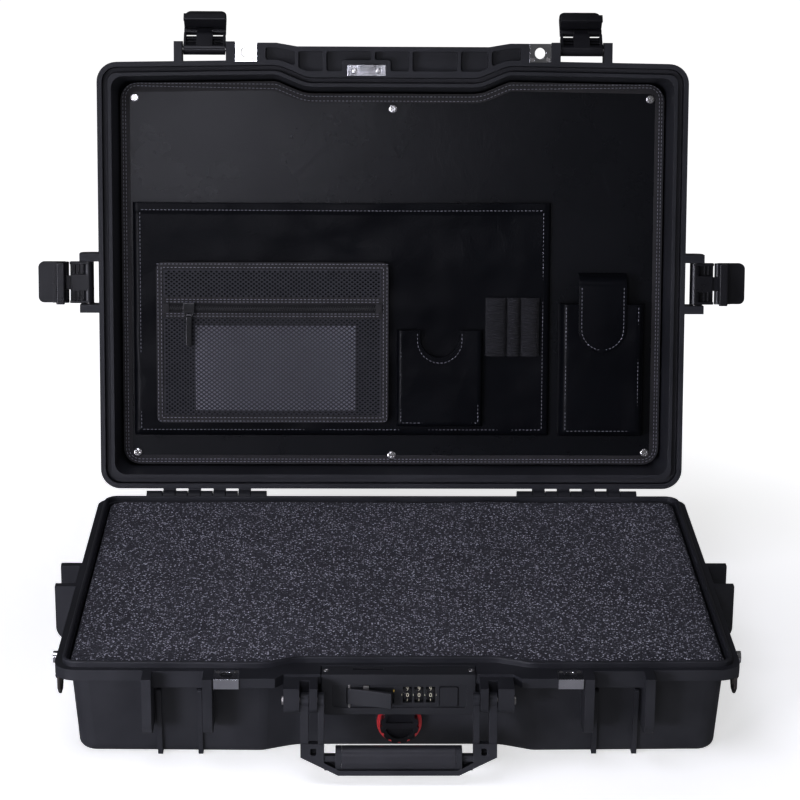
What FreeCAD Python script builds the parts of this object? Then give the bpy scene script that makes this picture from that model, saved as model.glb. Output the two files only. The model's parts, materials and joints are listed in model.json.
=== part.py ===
import FreeCAD, Part
import math
import os

# Laptop hard case standing open on a table. X is right, Y is back, Z is up, in millimetres.
# The origin is the centre of the rim outline, dropped to the floor.
# Pieces of the lid are drawn with the case shut, and turned open about the hinge at the end.

vector = FreeCAD.Vector
axis_x = vector(1, 0, 0)
axis_y = vector(0, 1, 0)
axis_z = vector(0, 0, 1)
origin = vector(0, 0, 0)

# Driving sizes of the whole case
rim_width = 506.0
rim_depth = 368.0
rim_corner_radius = 17.0
parting_height = 74.0
lid_height = 50.0
lid_open_angle = 100.0
overrun = 2.0
wall_bite = 2.0
running_clearance = 0.05
soft_gap = 0.3
match_share = 1e-5
full_turn = 360
mitred_corners = 1

# Front edge of the rim, which runs out a little and then steps back behind the handle
front_bow = 2.5
jog_outer_half = 97.0
jog_inner_half = 72.0
jog_setback = 8.0
jog_outer_radius = 30.0
jog_inner_radius = 18.0

# Walls of both shells
wall_inset = 11.0
wall_thickness = 4.5
wall_corner_radius = 14.0
cavity_corner_radius = 10.0
base_draft = 4.5
lid_draft = 4.0
floor_thickness = 4.0
bottom_round = 7.0
lid_top_round = 9.0
foot_height = 1.0
foot_inset = 26.0
flange_height = 8.5
lid_flange_height = 11.0
tongue_inset = 5.5
tongue_thickness = 3.1
tongue_height = 4.5
tongue_round = 1.2
foam_ledge_inset = 9.4
foam_ledge_depth = 7.0

# Lid rim, seen face on in the open lid
groove_inset = 4.3
groove_width = 4.9
groove_depth = 7.3
seal_clearance = 0.25
seal_thickness = 2.4
seal_round = 0.9
lid_cavity_inset = 12.3
lid_top_panel_inset = 46.0
lid_top_panel_height = 2.0

# Hinge at the back
hinge_back = 8.0
hinge_drop = 3.0
hinge_knuckle_radius = 6.5
hinge_pin_radius = 2.5
hinge_group_centre = 161.0
hinge_knuckle_pitch = 21.8
hinge_lid_knuckle = 10.5
hinge_gap = 0.6
hinge_end_knuckle = 13.5
hinge_lid_knuckles = 4
hinge_face_gap = 0.5

# Latch stations, the same at the front and at the sides
front_latch_centre = 161.5
front_latch_setting = 1.5
side_latch_centre = 4.85
latch_width = 35.5
latch_side_gap = 0.9
ear_thickness = 7.0
ear_reach = 16.5
base_ear_drop = 46.5
base_ear_round = 12.0
lid_ear_rise = 19.0
lid_ear_round = 7.0
catch_lip_drop = 13.0
catch_lip_back = 4.0
catch_lip_front = 1.0
latch_pin_rise = 9.0
latch_pin_reach = 9.5
latch_pin_radius = 1.8
runner_offset = 15.0
runner_thickness = 3.6
runner_proud = 2.4
runner_top_drop = 18.7
runner_round = 3.0

# Latch arm and lever, drawn hanging down shut from the arm's pin
arm_length = 20.0
arm_knuckle_radius = 4.6
arm_plate_inner = 1.5
arm_plate_outer = 5.5
arm_plate_end = 16.0
arm_cheek = 2.0
arm_block_half = 7.0
arm_block_length = 15.0
arm_rib_height = 1.6
arm_rib_thickness = 1.1
arm_rib_spacing = 3.4
arm_centre_knuckle = 12.0
lever_knuckle_radius = 3.2
lever_pin_radius = 1.5
lever_length = 23.5
lever_plate_inner = 1.8
lever_plate_outer = 5.8
lever_plate_start = 0.6
lever_side_gap = 0.25
lever_step_start = 7.3
lever_step_end = 11.0
lever_step_inner = 1.2
lever_end_inner = 0.8
lever_end_round = 5.0
nose_thickness = 3.9
nose_gap = 0.6
nose_lip_gap = 0.5
nose_tip = 3.0
nose_tip_round = 1.0
nose_rise = 2.8
front_swing = 130.0
side_swing = 90.0

# Front ledge of the base, with the padlock plates on it
shelf_reach = 16.0
shelf_thickness = 7.5
shelf_lock_gap = 0.7
shelf_break_outer = 90.0
shelf_break_inner = 84.0
shelf_mid_reach = 8.0
hasp_centre = 125.5
hasp_width = 18.4
hasp_thickness = 1.5
hasp_hole_radius = 4.8
hasp_hole_reach = 8.8
hasp_back_reach = 1.0
hasp_lip_height = 7.6
hasp_gap = 0.15
rivet_radius = 1.3
rivet_head_radius = 1.7
rivet_head_height = 0.5
rivet_inset = 2.6
rivet_depth = 4.0

# Front ledge of the lid, hollowed between ribs
bumper_reach = 17.0
bumper_mid_reach = 14.0
bumper_break_outer = 100.0
bumper_break_inner = 82.5
bumper_wall = 4.2
bumper_rib = 3.0
bumper_pocket_depth = 8.5
bumper_rib_shares = (-1.0, -0.71, -0.21, 0.18, 0.68, 1.0)
bumper_pocket_outer = 110.5
bumper_back_gap = 0.3
bumper_pocket_round = 2.0

# Lock keeper on the lid ledge
keeper_left = -39.2
keeper_right = -6.5
keeper_front_inset = 1.6
keeper_depth = 9.2
keeper_thickness = 1.5
keeper_tab_left = -30.5
keeper_tab_right = -15.5
keeper_tab_drop = 6.2
keeper_window_height = 3.0
keeper_window_low = 1.6
keeper_screw_back = 4.8
keeper_screw_inset = 6.2
keeper_block_margin = 4.2

# Small screws
screw_head_radius = 2.5
screw_head_height = 1.2
screw_shank_radius = 1.3
screw_shank_length = 7.0
screw_slot_width = 0.6
screw_slot_depth = 0.5

# Handle bosses and pins
boss_outer_wall = 11.6
boss_inner_wall = 6.0
boss_slot_outer_gap = 0.6
boss_slot_inner_gap = 0.4
boss_reach = 30.0
boss_top_drop = 2.0
boss_height = 20.0
boss_front_round = 5.0
handle_pivot_reach = 21.5
handle_pivot_drop = 14.5
handle_rest_swing = 14.0
handle_pin_radius = 2.0
handle_pin_head_radius = 3.2
handle_pin_head_height = 1.4
boss_slot_clearance = 1.2

# Handle, drawn hanging straight down from its pivot
handle_outer_half = 71.4
handle_arm_outer = 6.0
handle_arm_inner = 4.5
handle_inner_gap = 0.3
handle_knuckle_radius = 6.0
handle_arm_depth = 10.0
handle_strap_depth = 12.0
handle_length = 54.3
handle_shoulder = 41.0
handle_bottom_inset = 27.4
handle_strap = 3.8
handle_web_top = 31.0
handle_eye_width = 4.0
handle_eye_height = 5.0
handle_eye_top = 34.5
handle_recess_floor = 3.0
grip_inset = 2.5
grip_depth = 17.0
grip_height = 17.0
grip_round = 6.0
grip_end_length = 4.5
grip_core = 7.0
grip_core_gap = 0.1
strut_width = 4.2

# Lock housing between the handle bosses
lock_boss_gap = 2.7
lock_reach = 8.0
lock_back_gap = 0.4
lock_top_gap = 0.3
lock_bottom_drop = 32.0
lock_deep_depth = 21.0
lock_deep_top_drop = 9.0
lock_deep_inset = 7.3
lock_face_left_inset = 8.1
lock_face_right_inset = 6.4
lock_face_bottom_drop = 26.8
lock_face_top_drop = 8.4
lock_face_round = 2.0
lock_face_depth = 1.6
lock_bottom_taper = 3.0
lock_screw_inset = 3.1
lock_screw_setback = 8.5
lock_screw_shank = 15.0
lock_plate_depth = 4.0
lock_lug_gap = 0.4
lever_pocket_depth = 4.4

# Lock lever, which is hinged at its left end
lock_lever_left = -37.6
lock_lever_length = 34.0
lock_lever_bottom_drop = 23.6
lock_lever_top_drop = 11.6
lock_lever_thickness = 3.0
lock_lever_inset = 0.2
lock_lever_open_angle = 17.0
lock_lever_pin_radius = 0.9
lock_lever_gap = 0.5
lock_lever_barrel = 1.6

# Lock hook, which the lever drives through the keeper's window
hook_left = -25.8
hook_width = 4.0
hook_thickness = 2.0
hook_travel = 3.0
hook_leg_drop = 19.0
hook_slot_setback = 9.1
hook_slot_depth = 3.3
hook_step_drop = 9.6
hook_step_thickness = 2.0
hook_step_back = 4.0
hook_finger_height = 2.2
hook_finger_reach = 4.6
hook_finger_drop = 2.0
hook_gap = 0.3
hook_slot_left = -33.4
hook_slot_right = -11.0
hook_slot_floor_gap = 1.0

# Combination dials
dial_radius = 7.6
dial_width = 6.0
dial_first = 6.6
dial_pitch = 8.45
dial_count = 3
dial_proud = 0.7
dial_drop = 17.0
dial_shaft_radius = 1.5
dial_shaft_margin = 3.0
dial_pocket_gap = 0.35
dial_faces = 10
dial_notch_radius = 0.55
dial_window_height = 12.6
dial_window_depth = 2.4

# Lock button and its spring
button_centre = 36.9
button_width = 13.2
button_bottom_drop = 25.8
button_top_drop = 10.6
button_proud = 1.0
button_depth = 8.0
button_gap = 0.3
button_round = 1.6
button_bore_depth = 15.5
spring_radius = 3.4
spring_wire = 0.4
spring_turns = 5
spring_end_gap = 0.15
spring_travel = 2.5
spring_socket = 5.0

# Purge valve in the front wall under the lock
valve_x = 1.2
valve_height = 24.0
valve_boss_radius = 17.3
valve_face_setback = 19.4
valve_ring_radius = 16.8
valve_ring_inner = 13.4
valve_ring_thickness = 1.8
valve_knob_radius = 14.4
valve_knob_depth = 6.6
valve_knob_gap = 0.2
valve_knob_recess_radius = 10.4
valve_knob_recess = 2.6
valve_knob_notches = 12
valve_notch_radius = 1.5
valve_stem_radius = 7.5
valve_stem_depth = 15.6
valve_spindle_radius = 4.0
valve_spindle_length = 3.4
valve_inner_boss_radius = 15.6
valve_wall_depth = 9.4
valve_collar_thickness = 1.8
valve_nut_across = 26.0
valve_nut_thickness = 4.5
valve_foam_gap = 3.0
valve_grip_half = 2.2
nut_sides = 6

# Shoulder strap studs and rings near the front corners
stud_front_inset = 34.0
stud_drop = 4.3
stud_head_radius = 4.5
stud_head_thickness = 3.2
stud_neck_radius = 2.8
stud_neck_length = 7.0
ring_front_inset = 24.0
ring_side_inset = 2.6
ring_bar_drop = 13.2
ring_wire = 1.5
ring_width = 16.0
ring_drop = 13.0
ring_corner = 4.5
ring_lug_radius = 3.2
ring_lug_width = 8.0

# Foam in the base
foam_top_proud = 2.3
foam_split_rise = 16.0
foam_wall_gap = 0.5
foam_crown_round = 2.0

# Organizer in the lid, measured from the rim plane into the lid
organizer_depth = 23.0
organizer_thickness = 3.0
organizer_inset = 19.6
organizer_corner_radius = 13.0
binding_width = 7.5
binding_cloth = 1.0
organizer_screw_side = 30.5
organizer_screw_front = 30.2
organizer_screw_back = 28.5
organizer_mid_front = 39.2
organizer_mid_back = 26.0
organizer_boss_radius = 5.0
organizer_head_radius = 3.9
organizer_head_height = 2.2
organizer_shank_radius = 1.8
organizer_shank_length = 12.0

# Pockets of the organizer
pocket_cloth = 1.2
document_left = -224.0
document_right = 136.5
document_mouth = -64.0
document_end = 139.0
document_gap = 5.5
document_round = 6.0
mesh_left = -204.5
mesh_right = -3.2
mesh_mouth = -12.7
mesh_end = 127.4
mesh_gap = 5.4
mesh_border = 6.0
mesh_band_start = 17.6
mesh_band_end = 36.0
net_thickness = 0.8
net_columns = 26
net_upper_rows = 3
net_lower_rows = 8
net_strand = 1.1
net_round = 2.0
zip_ridge = 2.4
zip_ridge_height = 1.0
zip_tape_margin = 5.5
slider_x = -176.2
slider_length = 10.0
slider_width = 9.0
slider_height = 3.0
slider_gap = 0.3
pull_width = 4.6
pull_length = 27.0
pull_thickness = 1.2
pull_eye_radius = 1.3
slider_pin_radius = 0.7
card_left = 5.2
card_right = 77.6
card_mouth = 46.2
card_end = 130.0
card_gap = 5.4
card_notch_half = 17.0
card_notch_depth = 24.0
card_notch_round = 15.0
pen_left = 81.0
pen_pitch = 15.7
pen_loops_count = 3
pen_start = 18.0
pen_end = 69.0
pen_radius = 7.2
pen_cloth = 0.9
phone_left = 146.6
phone_right = 218.5
phone_mouth = 23.0
phone_end = 138.6
phone_gap = 14.4
phone_cloth = 1.6
phone_round = 5.0
flap_left = 162.0
flap_right = 203.3
flap_root = -2.4
flap_end = 65.0
flap_thickness = 1.8
flap_shoulder = 3.0
flap_end_round = 15.0

# Heights and lines that follow from the sizes above
lid_roof = parting_height + lid_height - lid_top_panel_height
flange_bottom = parting_height - flange_height
hinge_y = rim_depth / 2 + hinge_back
hinge_z = parting_height - hinge_drop
organizer_face = parting_height + organizer_depth
document_face = organizer_face - soft_gap - document_gap - pocket_cloth
latch_pin_height = parting_height + latch_pin_rise
rim_half_width = rim_width / 2
rim_half_depth = rim_depth / 2
jog_front = rim_half_depth - jog_setback
lid_pin_line = vector(0, hinge_y, hinge_z)

# Handle bosses and handle, from the outer half of the handle inwards and outwards
boss_slot_outer = handle_outer_half + boss_slot_outer_gap
boss_slot_inner = handle_outer_half - handle_arm_outer - boss_slot_inner_gap
boss_outer = boss_slot_outer + boss_outer_wall
boss_inner = boss_slot_inner - boss_inner_wall
boss_front = rim_half_depth + boss_reach
boss_top = parting_height - boss_top_drop
boss_bottom = boss_top - boss_height
handle_pivot_front = rim_half_depth + handle_pivot_reach
handle_pivot_height = parting_height - handle_pivot_drop
handle_inner_arm_edge = boss_inner - handle_inner_gap - handle_arm_inner
handle_bottom_half = handle_outer_half - handle_bottom_inset
grip_half = handle_bottom_half - grip_inset

# Ledges, padlock plates and keeper, from the front line of the rim
shelf_front = rim_half_depth + shelf_reach
shelf_mid_front = rim_half_depth + shelf_mid_reach
hasp_hole_front = rim_half_depth + hasp_hole_reach
hasp_back = rim_half_depth + hasp_back_reach
bumper_front = rim_half_depth + bumper_reach
bumper_mid_front = rim_half_depth + bumper_mid_reach
keeper_front = rim_half_depth - keeper_front_inset
keeper_back = keeper_front - keeper_depth
keeper_screw_y = keeper_screw_back - keeper_front

# Lock, between the bosses and down from the parting line
lock_half = boss_inner - lock_boss_gap
lock_front = rim_half_depth + lock_reach
lock_bottom = parting_height - lock_bottom_drop
lock_deep_back = lock_front - lock_deep_depth
lock_deep_top = parting_height - lock_deep_top_drop
lock_deep_half = lock_half - lock_deep_inset
lock_face_left = lock_face_left_inset - lock_half
lock_face_right = lock_half - lock_face_right_inset
lock_face_bottom = parting_height - lock_face_bottom_drop
lock_face_top = parting_height - lock_face_top_drop
lock_screw_x = lock_half - lock_screw_inset
lock_screw_y = lock_screw_setback - lock_front
lock_lever_bottom = parting_height - lock_lever_bottom_drop
lock_lever_top = parting_height - lock_lever_top_drop
hook_leg_bottom = parting_height - hook_leg_drop
hook_slot_front = lock_front - hook_slot_setback
hook_slot_back = hook_slot_front - hook_slot_depth
hook_step_top = parting_height - hook_step_drop
hook_finger_top = parting_height - hook_finger_drop
dial_height = parting_height - dial_drop
button_bottom = parting_height - button_bottom_drop
button_top = parting_height - button_top_drop
button_bore_back = lock_front - button_bore_depth
shelf_inner_half = lock_half + shelf_lock_gap

# Purge valve, strap studs and rings on the walls
valve_face_front = rim_half_depth - valve_face_setback
valve_stem_back = valve_face_front - valve_stem_depth
valve_inner_face = valve_face_front - valve_wall_depth
stud_y = stud_front_inset - rim_half_depth
stud_height = parting_height - stud_drop
ring_y = ring_front_inset - rim_half_depth
ring_x = rim_half_width - ring_side_inset
ring_height = parting_height - ring_bar_drop


def level(height):
    return lambda u, v: vector(u, v, height)


def side_plane(x):
    return lambda u, v: vector(x, u, v)


def front_plane(y):
    return lambda u, v: vector(u, y, v)


def rectangle(low_u, high_u, low_v, high_v):
    return [(low_u, low_v), (high_u, low_v), (high_u, high_v), (low_u, high_v)]


def rounded_wire(points, radii, place):
    """Closed wire through the points, with each corner rounded by its own radius."""
    spots = [place(u, v) for u, v in points]
    count = len(spots)
    starts = []
    ends = []
    middles = []
    for index in range(count):
        corner = spots[index]
        back = (spots[index - 1] - corner).normalize()
        ahead = (spots[(index + 1) % count] - corner).normalize()
        half = back.getAngle(ahead) / 2
        reach = radii[index] / math.tan(half)
        bisector = (back + ahead).normalize()
        starts.append(corner + back * reach)
        ends.append(corner + ahead * reach)
        middles.append(corner + bisector * (radii[index] / math.sin(half) - radii[index]))
    edges = []
    for index in range(count):
        if radii[index] > 0:
            edges.append(Part.Arc(starts[index], middles[index], ends[index]).toShape())
        edges.append(Part.LineSegment(ends[index], starts[(index + 1) % count]).toShape())
    return Part.Wire(edges)


def slab(points, radii, place, extent):
    """Flat solid with a rounded outline, drawn in the plane that place gives."""
    if not isinstance(radii, (list, tuple)):
        radii = [radii] * len(points)
    return Part.Face(rounded_wire(points, radii, place)).extrude(extent)


def flat_slab(points, radii, low, high):
    return slab(points, radii, level(low), axis_z * (high - low))


def side_slab(points, radii, low, high):
    return slab(points, radii, side_plane(low), axis_x * (high - low))


def front_slab(points, radii, low, high):
    return slab(points, radii, front_plane(low), axis_y * (high - low))


def block(low_x, high_x, low_y, high_y, low_z, high_z):
    corner = vector(low_x, low_y, low_z)
    return Part.makeBox(high_x - low_x, high_y - low_y, high_z - low_z, corner)


def rod(radius, start, end):
    return Part.makeCylinder(radius, (end - start).Length, start, end - start)


def join(shapes):
    result = shapes[0]
    if len(shapes) > 1:
        result = shapes[0].multiFuse(shapes[1:])
    return result.removeSplitter()


def mirrored(shape):
    return shape.mirror(origin, axis_x)


def turned(shape, centre, axis, angle):
    copy = shape.copy()
    copy.rotate(centre, axis, angle)
    return copy


def moved(shape, offset):
    copy = shape.copy()
    copy.translate(offset)
    return copy


def opened(shape):
    """A lid piece, drawn shut, where it stands with the lid open."""
    return turned(shape, lid_pin_line, axis_x, -lid_open_angle)


def rim_points():
    half = rim_width / 2
    bow = -rim_half_depth - front_bow
    return [
        (-half, -rim_half_depth),
        (-jog_outer_half, bow),
        (-jog_inner_half, -jog_front),
        (jog_inner_half, -jog_front),
        (jog_outer_half, bow),
        (half, -rim_half_depth),
        (half, rim_half_depth),
        (-half, rim_half_depth),
    ]


def inset_points(points, distance):
    """The outline drawn the given distance inside, for corners listed anticlockwise."""
    result = []
    for index, here in enumerate(points):
        before = points[index - 1]
        after = points[(index + 1) % len(points)]
        first = vector(here[0] - before[0], here[1] - before[1], 0).normalize()
        second = vector(after[0] - here[0], after[1] - here[1], 0).normalize()
        normals = vector(-first.y - second.y, first.x + second.x, 0)
        share = distance / (1 + first.dot(second))
        result.append((here[0] + normals.x * share, here[1] + normals.y * share))
    return result


def rim_wire(inset, corner_radius, height):
    outer = max(jog_outer_radius - inset, 0)
    inner = jog_inner_radius + inset
    radii = [corner_radius, outer, inner, inner, outer]
    radii += [corner_radius, corner_radius, corner_radius]
    return rounded_wire(inset_points(rim_points(), inset), radii, level(height))


def rim_prism(inset, corner_radius, low, high):
    return Part.Face(rim_wire(inset, corner_radius, low)).extrude(axis_z * (high - low))


def rim_loft(low_inset, high_inset, corner_radius, low, high):
    wires = [rim_wire(low_inset, corner_radius, low), rim_wire(high_inset, corner_radius, high)]
    return Part.makeLoft(wires, True, True)


def rim_ring(inset, width, low, high):
    outer = rim_prism(inset, rim_corner_radius - inset, low, high)
    inner = rim_prism(inset + width, rim_corner_radius - inset - width, low - overrun, high + overrun)
    return outer.cut(inner)


def edges_at(shape, height):
    """Edges that lie wholly in the level plane at this height."""
    found = []
    for edge in shape.Edges:
        box = edge.BoundBox
        if abs(box.ZMin - height) < match_share * height and abs(box.ZMax - height) < match_share * height:
            found.append(edge)
    return found


# Latch stations: name, place on the rim, turn that faces the station outwards, swing at rest
latch_stations = (
    ("front_left", -front_latch_centre, -rim_half_depth - front_latch_setting, 180, front_swing),
    ("front_right", front_latch_centre, -rim_half_depth - front_latch_setting, 180, front_swing),
    ("side_left", -rim_width / 2, side_latch_centre, 90, side_swing),
    ("side_right", rim_width / 2, side_latch_centre, -90, side_swing),
)
latch_half = latch_width / 2
ear_inner = latch_half + latch_side_gap
ear_outer = ear_inner + ear_thickness
wall_reach = wall_inset + base_draft
foam_split_height = valve_height + foam_split_rise


def at_station(shape, station):
    """A shape drawn facing +Y at the origin, set on the rim at this latch station."""
    name, x, y, turn, swing = station
    return moved(turned(shape, origin, axis_z, turn), vector(x, y, 0))


def both_sides(make, low, high):
    return [make(low, high), make(-high, -low)]


def base_latch_mount():
    ear_low = parting_height - base_ear_drop
    ear = rectangle(-wall_reach, ear_reach, ear_low, parting_height)
    radii = [0, base_ear_round, 0, 0]
    parts = both_sides(lambda low, high: side_slab(ear, radii, low, high), ear_inner, ear_outer)
    lip_low = parting_height - catch_lip_drop
    parts.append(block(-ear_inner, ear_inner, -catch_lip_back, catch_lip_front, lip_low, parting_height))
    runner_low = runner_offset - runner_thickness / 2
    runner_top = parting_height - runner_top_drop
    runner_back = -wall_reach - bottom_round
    runner = [
        (runner_back, 0),
        (runner_proud - wall_reach, 0),
        (runner_proud - wall_inset, runner_top),
        (runner_back, runner_top),
    ]
    round_off = [0, runner_round, runner_round, 0]
    make_runner = lambda low, high: side_slab(runner, round_off, low, high)
    return parts + both_sides(make_runner, runner_low, runner_low + runner_thickness)


def lid_latch_mount():
    ear = rectangle(-wall_reach, ear_reach, parting_height, parting_height + lid_ear_rise)
    radii = [0, 0, lid_ear_round, 0]
    return both_sides(lambda low, high: side_slab(ear, radii, low, high), ear_inner, ear_outer)


def latch_pin(length_gap, radius):
    return rod(radius, vector(-ear_outer + length_gap, 0, 0), vector(ear_outer - length_gap, 0, 0))


def at_lid_pin(shape, station):
    """A latch piece, drawn shut about its pin, swung to rest on the open lid."""
    swung = turned(shape, origin, axis_x, station[4])
    placed = moved(swung, vector(0, latch_pin_reach, latch_pin_height))
    return opened(at_station(placed, station))


def latch_arm():
    half_centre = arm_centre_knuckle / 2
    knuckle = rod(arm_knuckle_radius, vector(-latch_half, 0, 0), vector(latch_half, 0, 0))
    plate = block(-latch_half, latch_half, arm_plate_inner, arm_plate_outer, -arm_plate_end, 0)
    inner = -arm_knuckle_radius
    cheek = rectangle(inner, arm_plate_outer, -arm_plate_end, 0)
    make_cheek = lambda low, high: side_slab(cheek, [arm_cheek, arm_cheek, 0, 0], low, high)
    parts = [knuckle, plate] + both_sides(make_cheek, latch_half - arm_cheek, latch_half)
    parts.append(block(-arm_block_half, arm_block_half, inner, arm_plate_inner, -arm_block_length, 0))
    for row in (1, 2):
        top = -arm_knuckle_radius - row * arm_rib_spacing
        low_y = arm_plate_inner - arm_rib_height
        parts.append(block(-latch_half, latch_half, low_y, arm_plate_inner, top - arm_rib_thickness, top))
    centre_low = vector(-half_centre, 0, -arm_length)
    parts.append(rod(lever_knuckle_radius, centre_low, vector(half_centre, 0, -arm_length)))
    neck_top = arm_block_length - lever_side_gap
    parts.append(block(-half_centre, half_centre, -lever_knuckle_radius, 0, -arm_length, -neck_top))
    arm = join(parts)
    arm = arm.cut(latch_pin(0, latch_pin_radius + running_clearance))
    return arm.cut(moved(latch_pin(0, lever_pin_radius + running_clearance), vector(0, 0, -arm_length)))


def latch_lever():
    half_centre = arm_centre_knuckle / 2 + lever_side_gap
    tip = -arm_length - lever_length
    plate_points = rectangle(-latch_half, latch_half, tip, -arm_length - lever_plate_start)
    plate_radii = [lever_end_round, lever_end_round, 0, 0]
    plate = front_slab(plate_points, plate_radii, lever_plate_inner, lever_plate_outer)
    end_points = rectangle(-latch_half, latch_half, tip, -arm_length - lever_step_end)
    end = front_slab(end_points, plate_radii, lever_end_inner, lever_plate_inner)
    step_low = -arm_length - lever_step_end
    step_high = -arm_length - lever_step_start
    step = block(-latch_half, latch_half, -lever_step_inner, lever_plate_inner, step_low, step_high)
    parts = [plate, end, step]
    for low, high in ((half_centre, latch_half), (-latch_half, -half_centre)):
        parts.append(rod(lever_knuckle_radius, vector(low, 0, -arm_length), vector(high, 0, -arm_length)))
    lip_back = latch_pin_reach + catch_lip_back + nose_lip_gap
    nose_top = parting_height - catch_lip_drop - latch_pin_height - nose_gap
    nose_low = nose_top - nose_thickness
    parts.append(block(-latch_half, latch_half, -lip_back, lever_plate_inner, nose_low, nose_top))
    tip_points = rectangle(-lip_back - nose_tip, -lip_back, nose_low, nose_top + nose_gap + nose_rise)
    tip_radii = [nose_tip / 2, 0, nose_tip_round, nose_tip_round]
    parts.append(side_slab(tip_points, tip_radii, -latch_half, latch_half))
    lever = join(parts)
    relief_radius = lever_knuckle_radius + lever_side_gap
    relief = rod(relief_radius, vector(-half_centre, 0, -arm_length), vector(half_centre, 0, -arm_length))
    lever = lever.cut(relief)
    return lever.cut(moved(latch_pin(0, lever_pin_radius + running_clearance), vector(0, 0, -arm_length)))


def lever_pin():
    half = latch_half - lever_side_gap
    return rod(lever_pin_radius, vector(-half, 0, -arm_length), vector(half, 0, -arm_length))


# Hinge knuckles, from the outer end of one group inwards
hinge_span = hinge_lid_knuckle + hinge_knuckle_pitch * (hinge_lid_knuckles - 1)
hinge_first = hinge_group_centre - hinge_span / 2
base_knuckle = hinge_knuckle_pitch - hinge_lid_knuckle - 2 * hinge_gap


def knuckle_bar(low_x, high_x):
    return rod(hinge_knuckle_radius, vector(low_x, hinge_y, hinge_z), vector(high_x, hinge_y, hinge_z))


def base_hinge():
    """Base knuckles of one group: one between each two lid knuckles, and one at each end."""
    parts = []
    for index in range(hinge_lid_knuckles + 1):
        low = hinge_first - hinge_gap - base_knuckle + index * hinge_knuckle_pitch
        high = low + base_knuckle
        if index == 0:
            low = high - hinge_end_knuckle
        if index == hinge_lid_knuckles:
            high = low + hinge_end_knuckle
        parts.append(knuckle_bar(low, high))
        arm_low = hinge_z - hinge_knuckle_radius
        wall_y = rim_half_depth - wall_inset - wall_bite
        parts.append(block(low, high, wall_y, hinge_y, arm_low, hinge_z))
    return parts


def lid_hinge():
    parts = []
    for index in range(hinge_lid_knuckles):
        low = hinge_first + index * hinge_knuckle_pitch
        high = low + hinge_lid_knuckle
        back = hinge_y + hinge_knuckle_radius
        arm_front = hinge_y - hinge_knuckle_radius
        arm_top = parting_height + lid_flange_height
        parts.append(knuckle_bar(low, high))
        parts.append(block(low, high, arm_front, back, hinge_z, arm_top))
        clear_height = parting_height + hinge_face_gap
        parts.append(block(low, high, rim_half_depth - wall_inset, back, clear_height, arm_top))
    return parts


def hinge_pin(clearance, extra):
    low = hinge_first - hinge_gap - hinge_end_knuckle - extra
    high = hinge_first + hinge_span + hinge_gap + hinge_end_knuckle + extra
    return rod(hinge_pin_radius + clearance, vector(low, hinge_y, hinge_z), vector(high, hinge_y, hinge_z))


def shelf_outline():
    """Half of the front ledge of the base, from the lock to the inner latch ear."""
    return [
        (shelf_inner_half, -shelf_mid_front),
        (shelf_break_inner, -shelf_mid_front),
        (shelf_break_outer, -shelf_front),
        (front_latch_centre - ear_inner, -shelf_front),
        (front_latch_centre - ear_inner, -rim_half_depth + wall_inset),
        (shelf_inner_half, -jog_front + wall_inset),
    ]


def handle_boss():
    """One moulded boss that carries a side of the handle, slotted for its outer arm."""
    back = -jog_front + wall_inset + wall_bite
    body = side_slab(
        rectangle(-boss_front, back, boss_bottom, boss_top),
        [boss_front_round, 0, 0, 0],
        boss_inner,
        boss_outer,
    )
    slot_back = -handle_pivot_front + handle_knuckle_radius + boss_slot_clearance
    slot_low = boss_bottom - overrun
    slot_high = boss_top + overrun
    slot = block(boss_slot_inner, boss_slot_outer, -boss_front - overrun, slot_back, slot_low, slot_high)
    return body.cut(slot)


def pivot_bore():
    start = vector(0, -handle_pivot_front, handle_pivot_height)
    end = vector(boss_outer + overrun, -handle_pivot_front, handle_pivot_height)
    return rod(handle_pin_radius + running_clearance, start, end)


def hasp_centre_line(low, high, radius):
    start = vector(hasp_centre, -hasp_hole_front, low)
    return rod(radius, start, vector(hasp_centre, -hasp_hole_front, high))


def hasp_recess(front, low, high):
    half = hasp_width / 2 + hasp_gap
    return block(hasp_centre - half, hasp_centre + half, -front, -hasp_back + hasp_gap, low, high)


def rivet_spots():
    offset = hasp_width / 2 - rivet_inset
    y = -hasp_back - rivet_inset
    return [(hasp_centre - offset, y), (hasp_centre + offset, y)]


def valve_rod(radius, front, back):
    return rod(radius, vector(valve_x, -front, valve_height), vector(valve_x, -back, valve_height))


def strap_lug():
    low = ring_y - ring_lug_width / 2
    high = ring_y + ring_lug_width / 2
    barrel = rod(ring_lug_radius, vector(ring_x, low, ring_height), vector(ring_x, high, ring_height))
    wall_x = rim_width / 2 - wall_reach
    low_z = ring_height - ring_lug_radius
    web = block(wall_x, ring_x, low, high, low_z, ring_height + ring_lug_radius)
    bore_low = vector(ring_x, low - overrun, ring_height)
    bore = rod(ring_wire + running_clearance, bore_low, vector(ring_x, high + overrun, ring_height))
    return barrel.fuse(web).cut(bore)


def stud_neck(radius):
    low_x = rim_width / 2 - stud_neck_length
    return rod(radius, vector(low_x, stud_y, stud_height), vector(rim_width / 2, stud_y, stud_height))


def lock_bay():
    """Room in the base wall for the deep part of the lock housing."""
    half = lock_deep_half + lock_back_gap
    back = lock_deep_back - lock_back_gap
    low = lock_face_bottom - wall_thickness
    return block(-half, half, -shelf_mid_front, -back, low, lock_deep_top + lock_back_gap)


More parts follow.
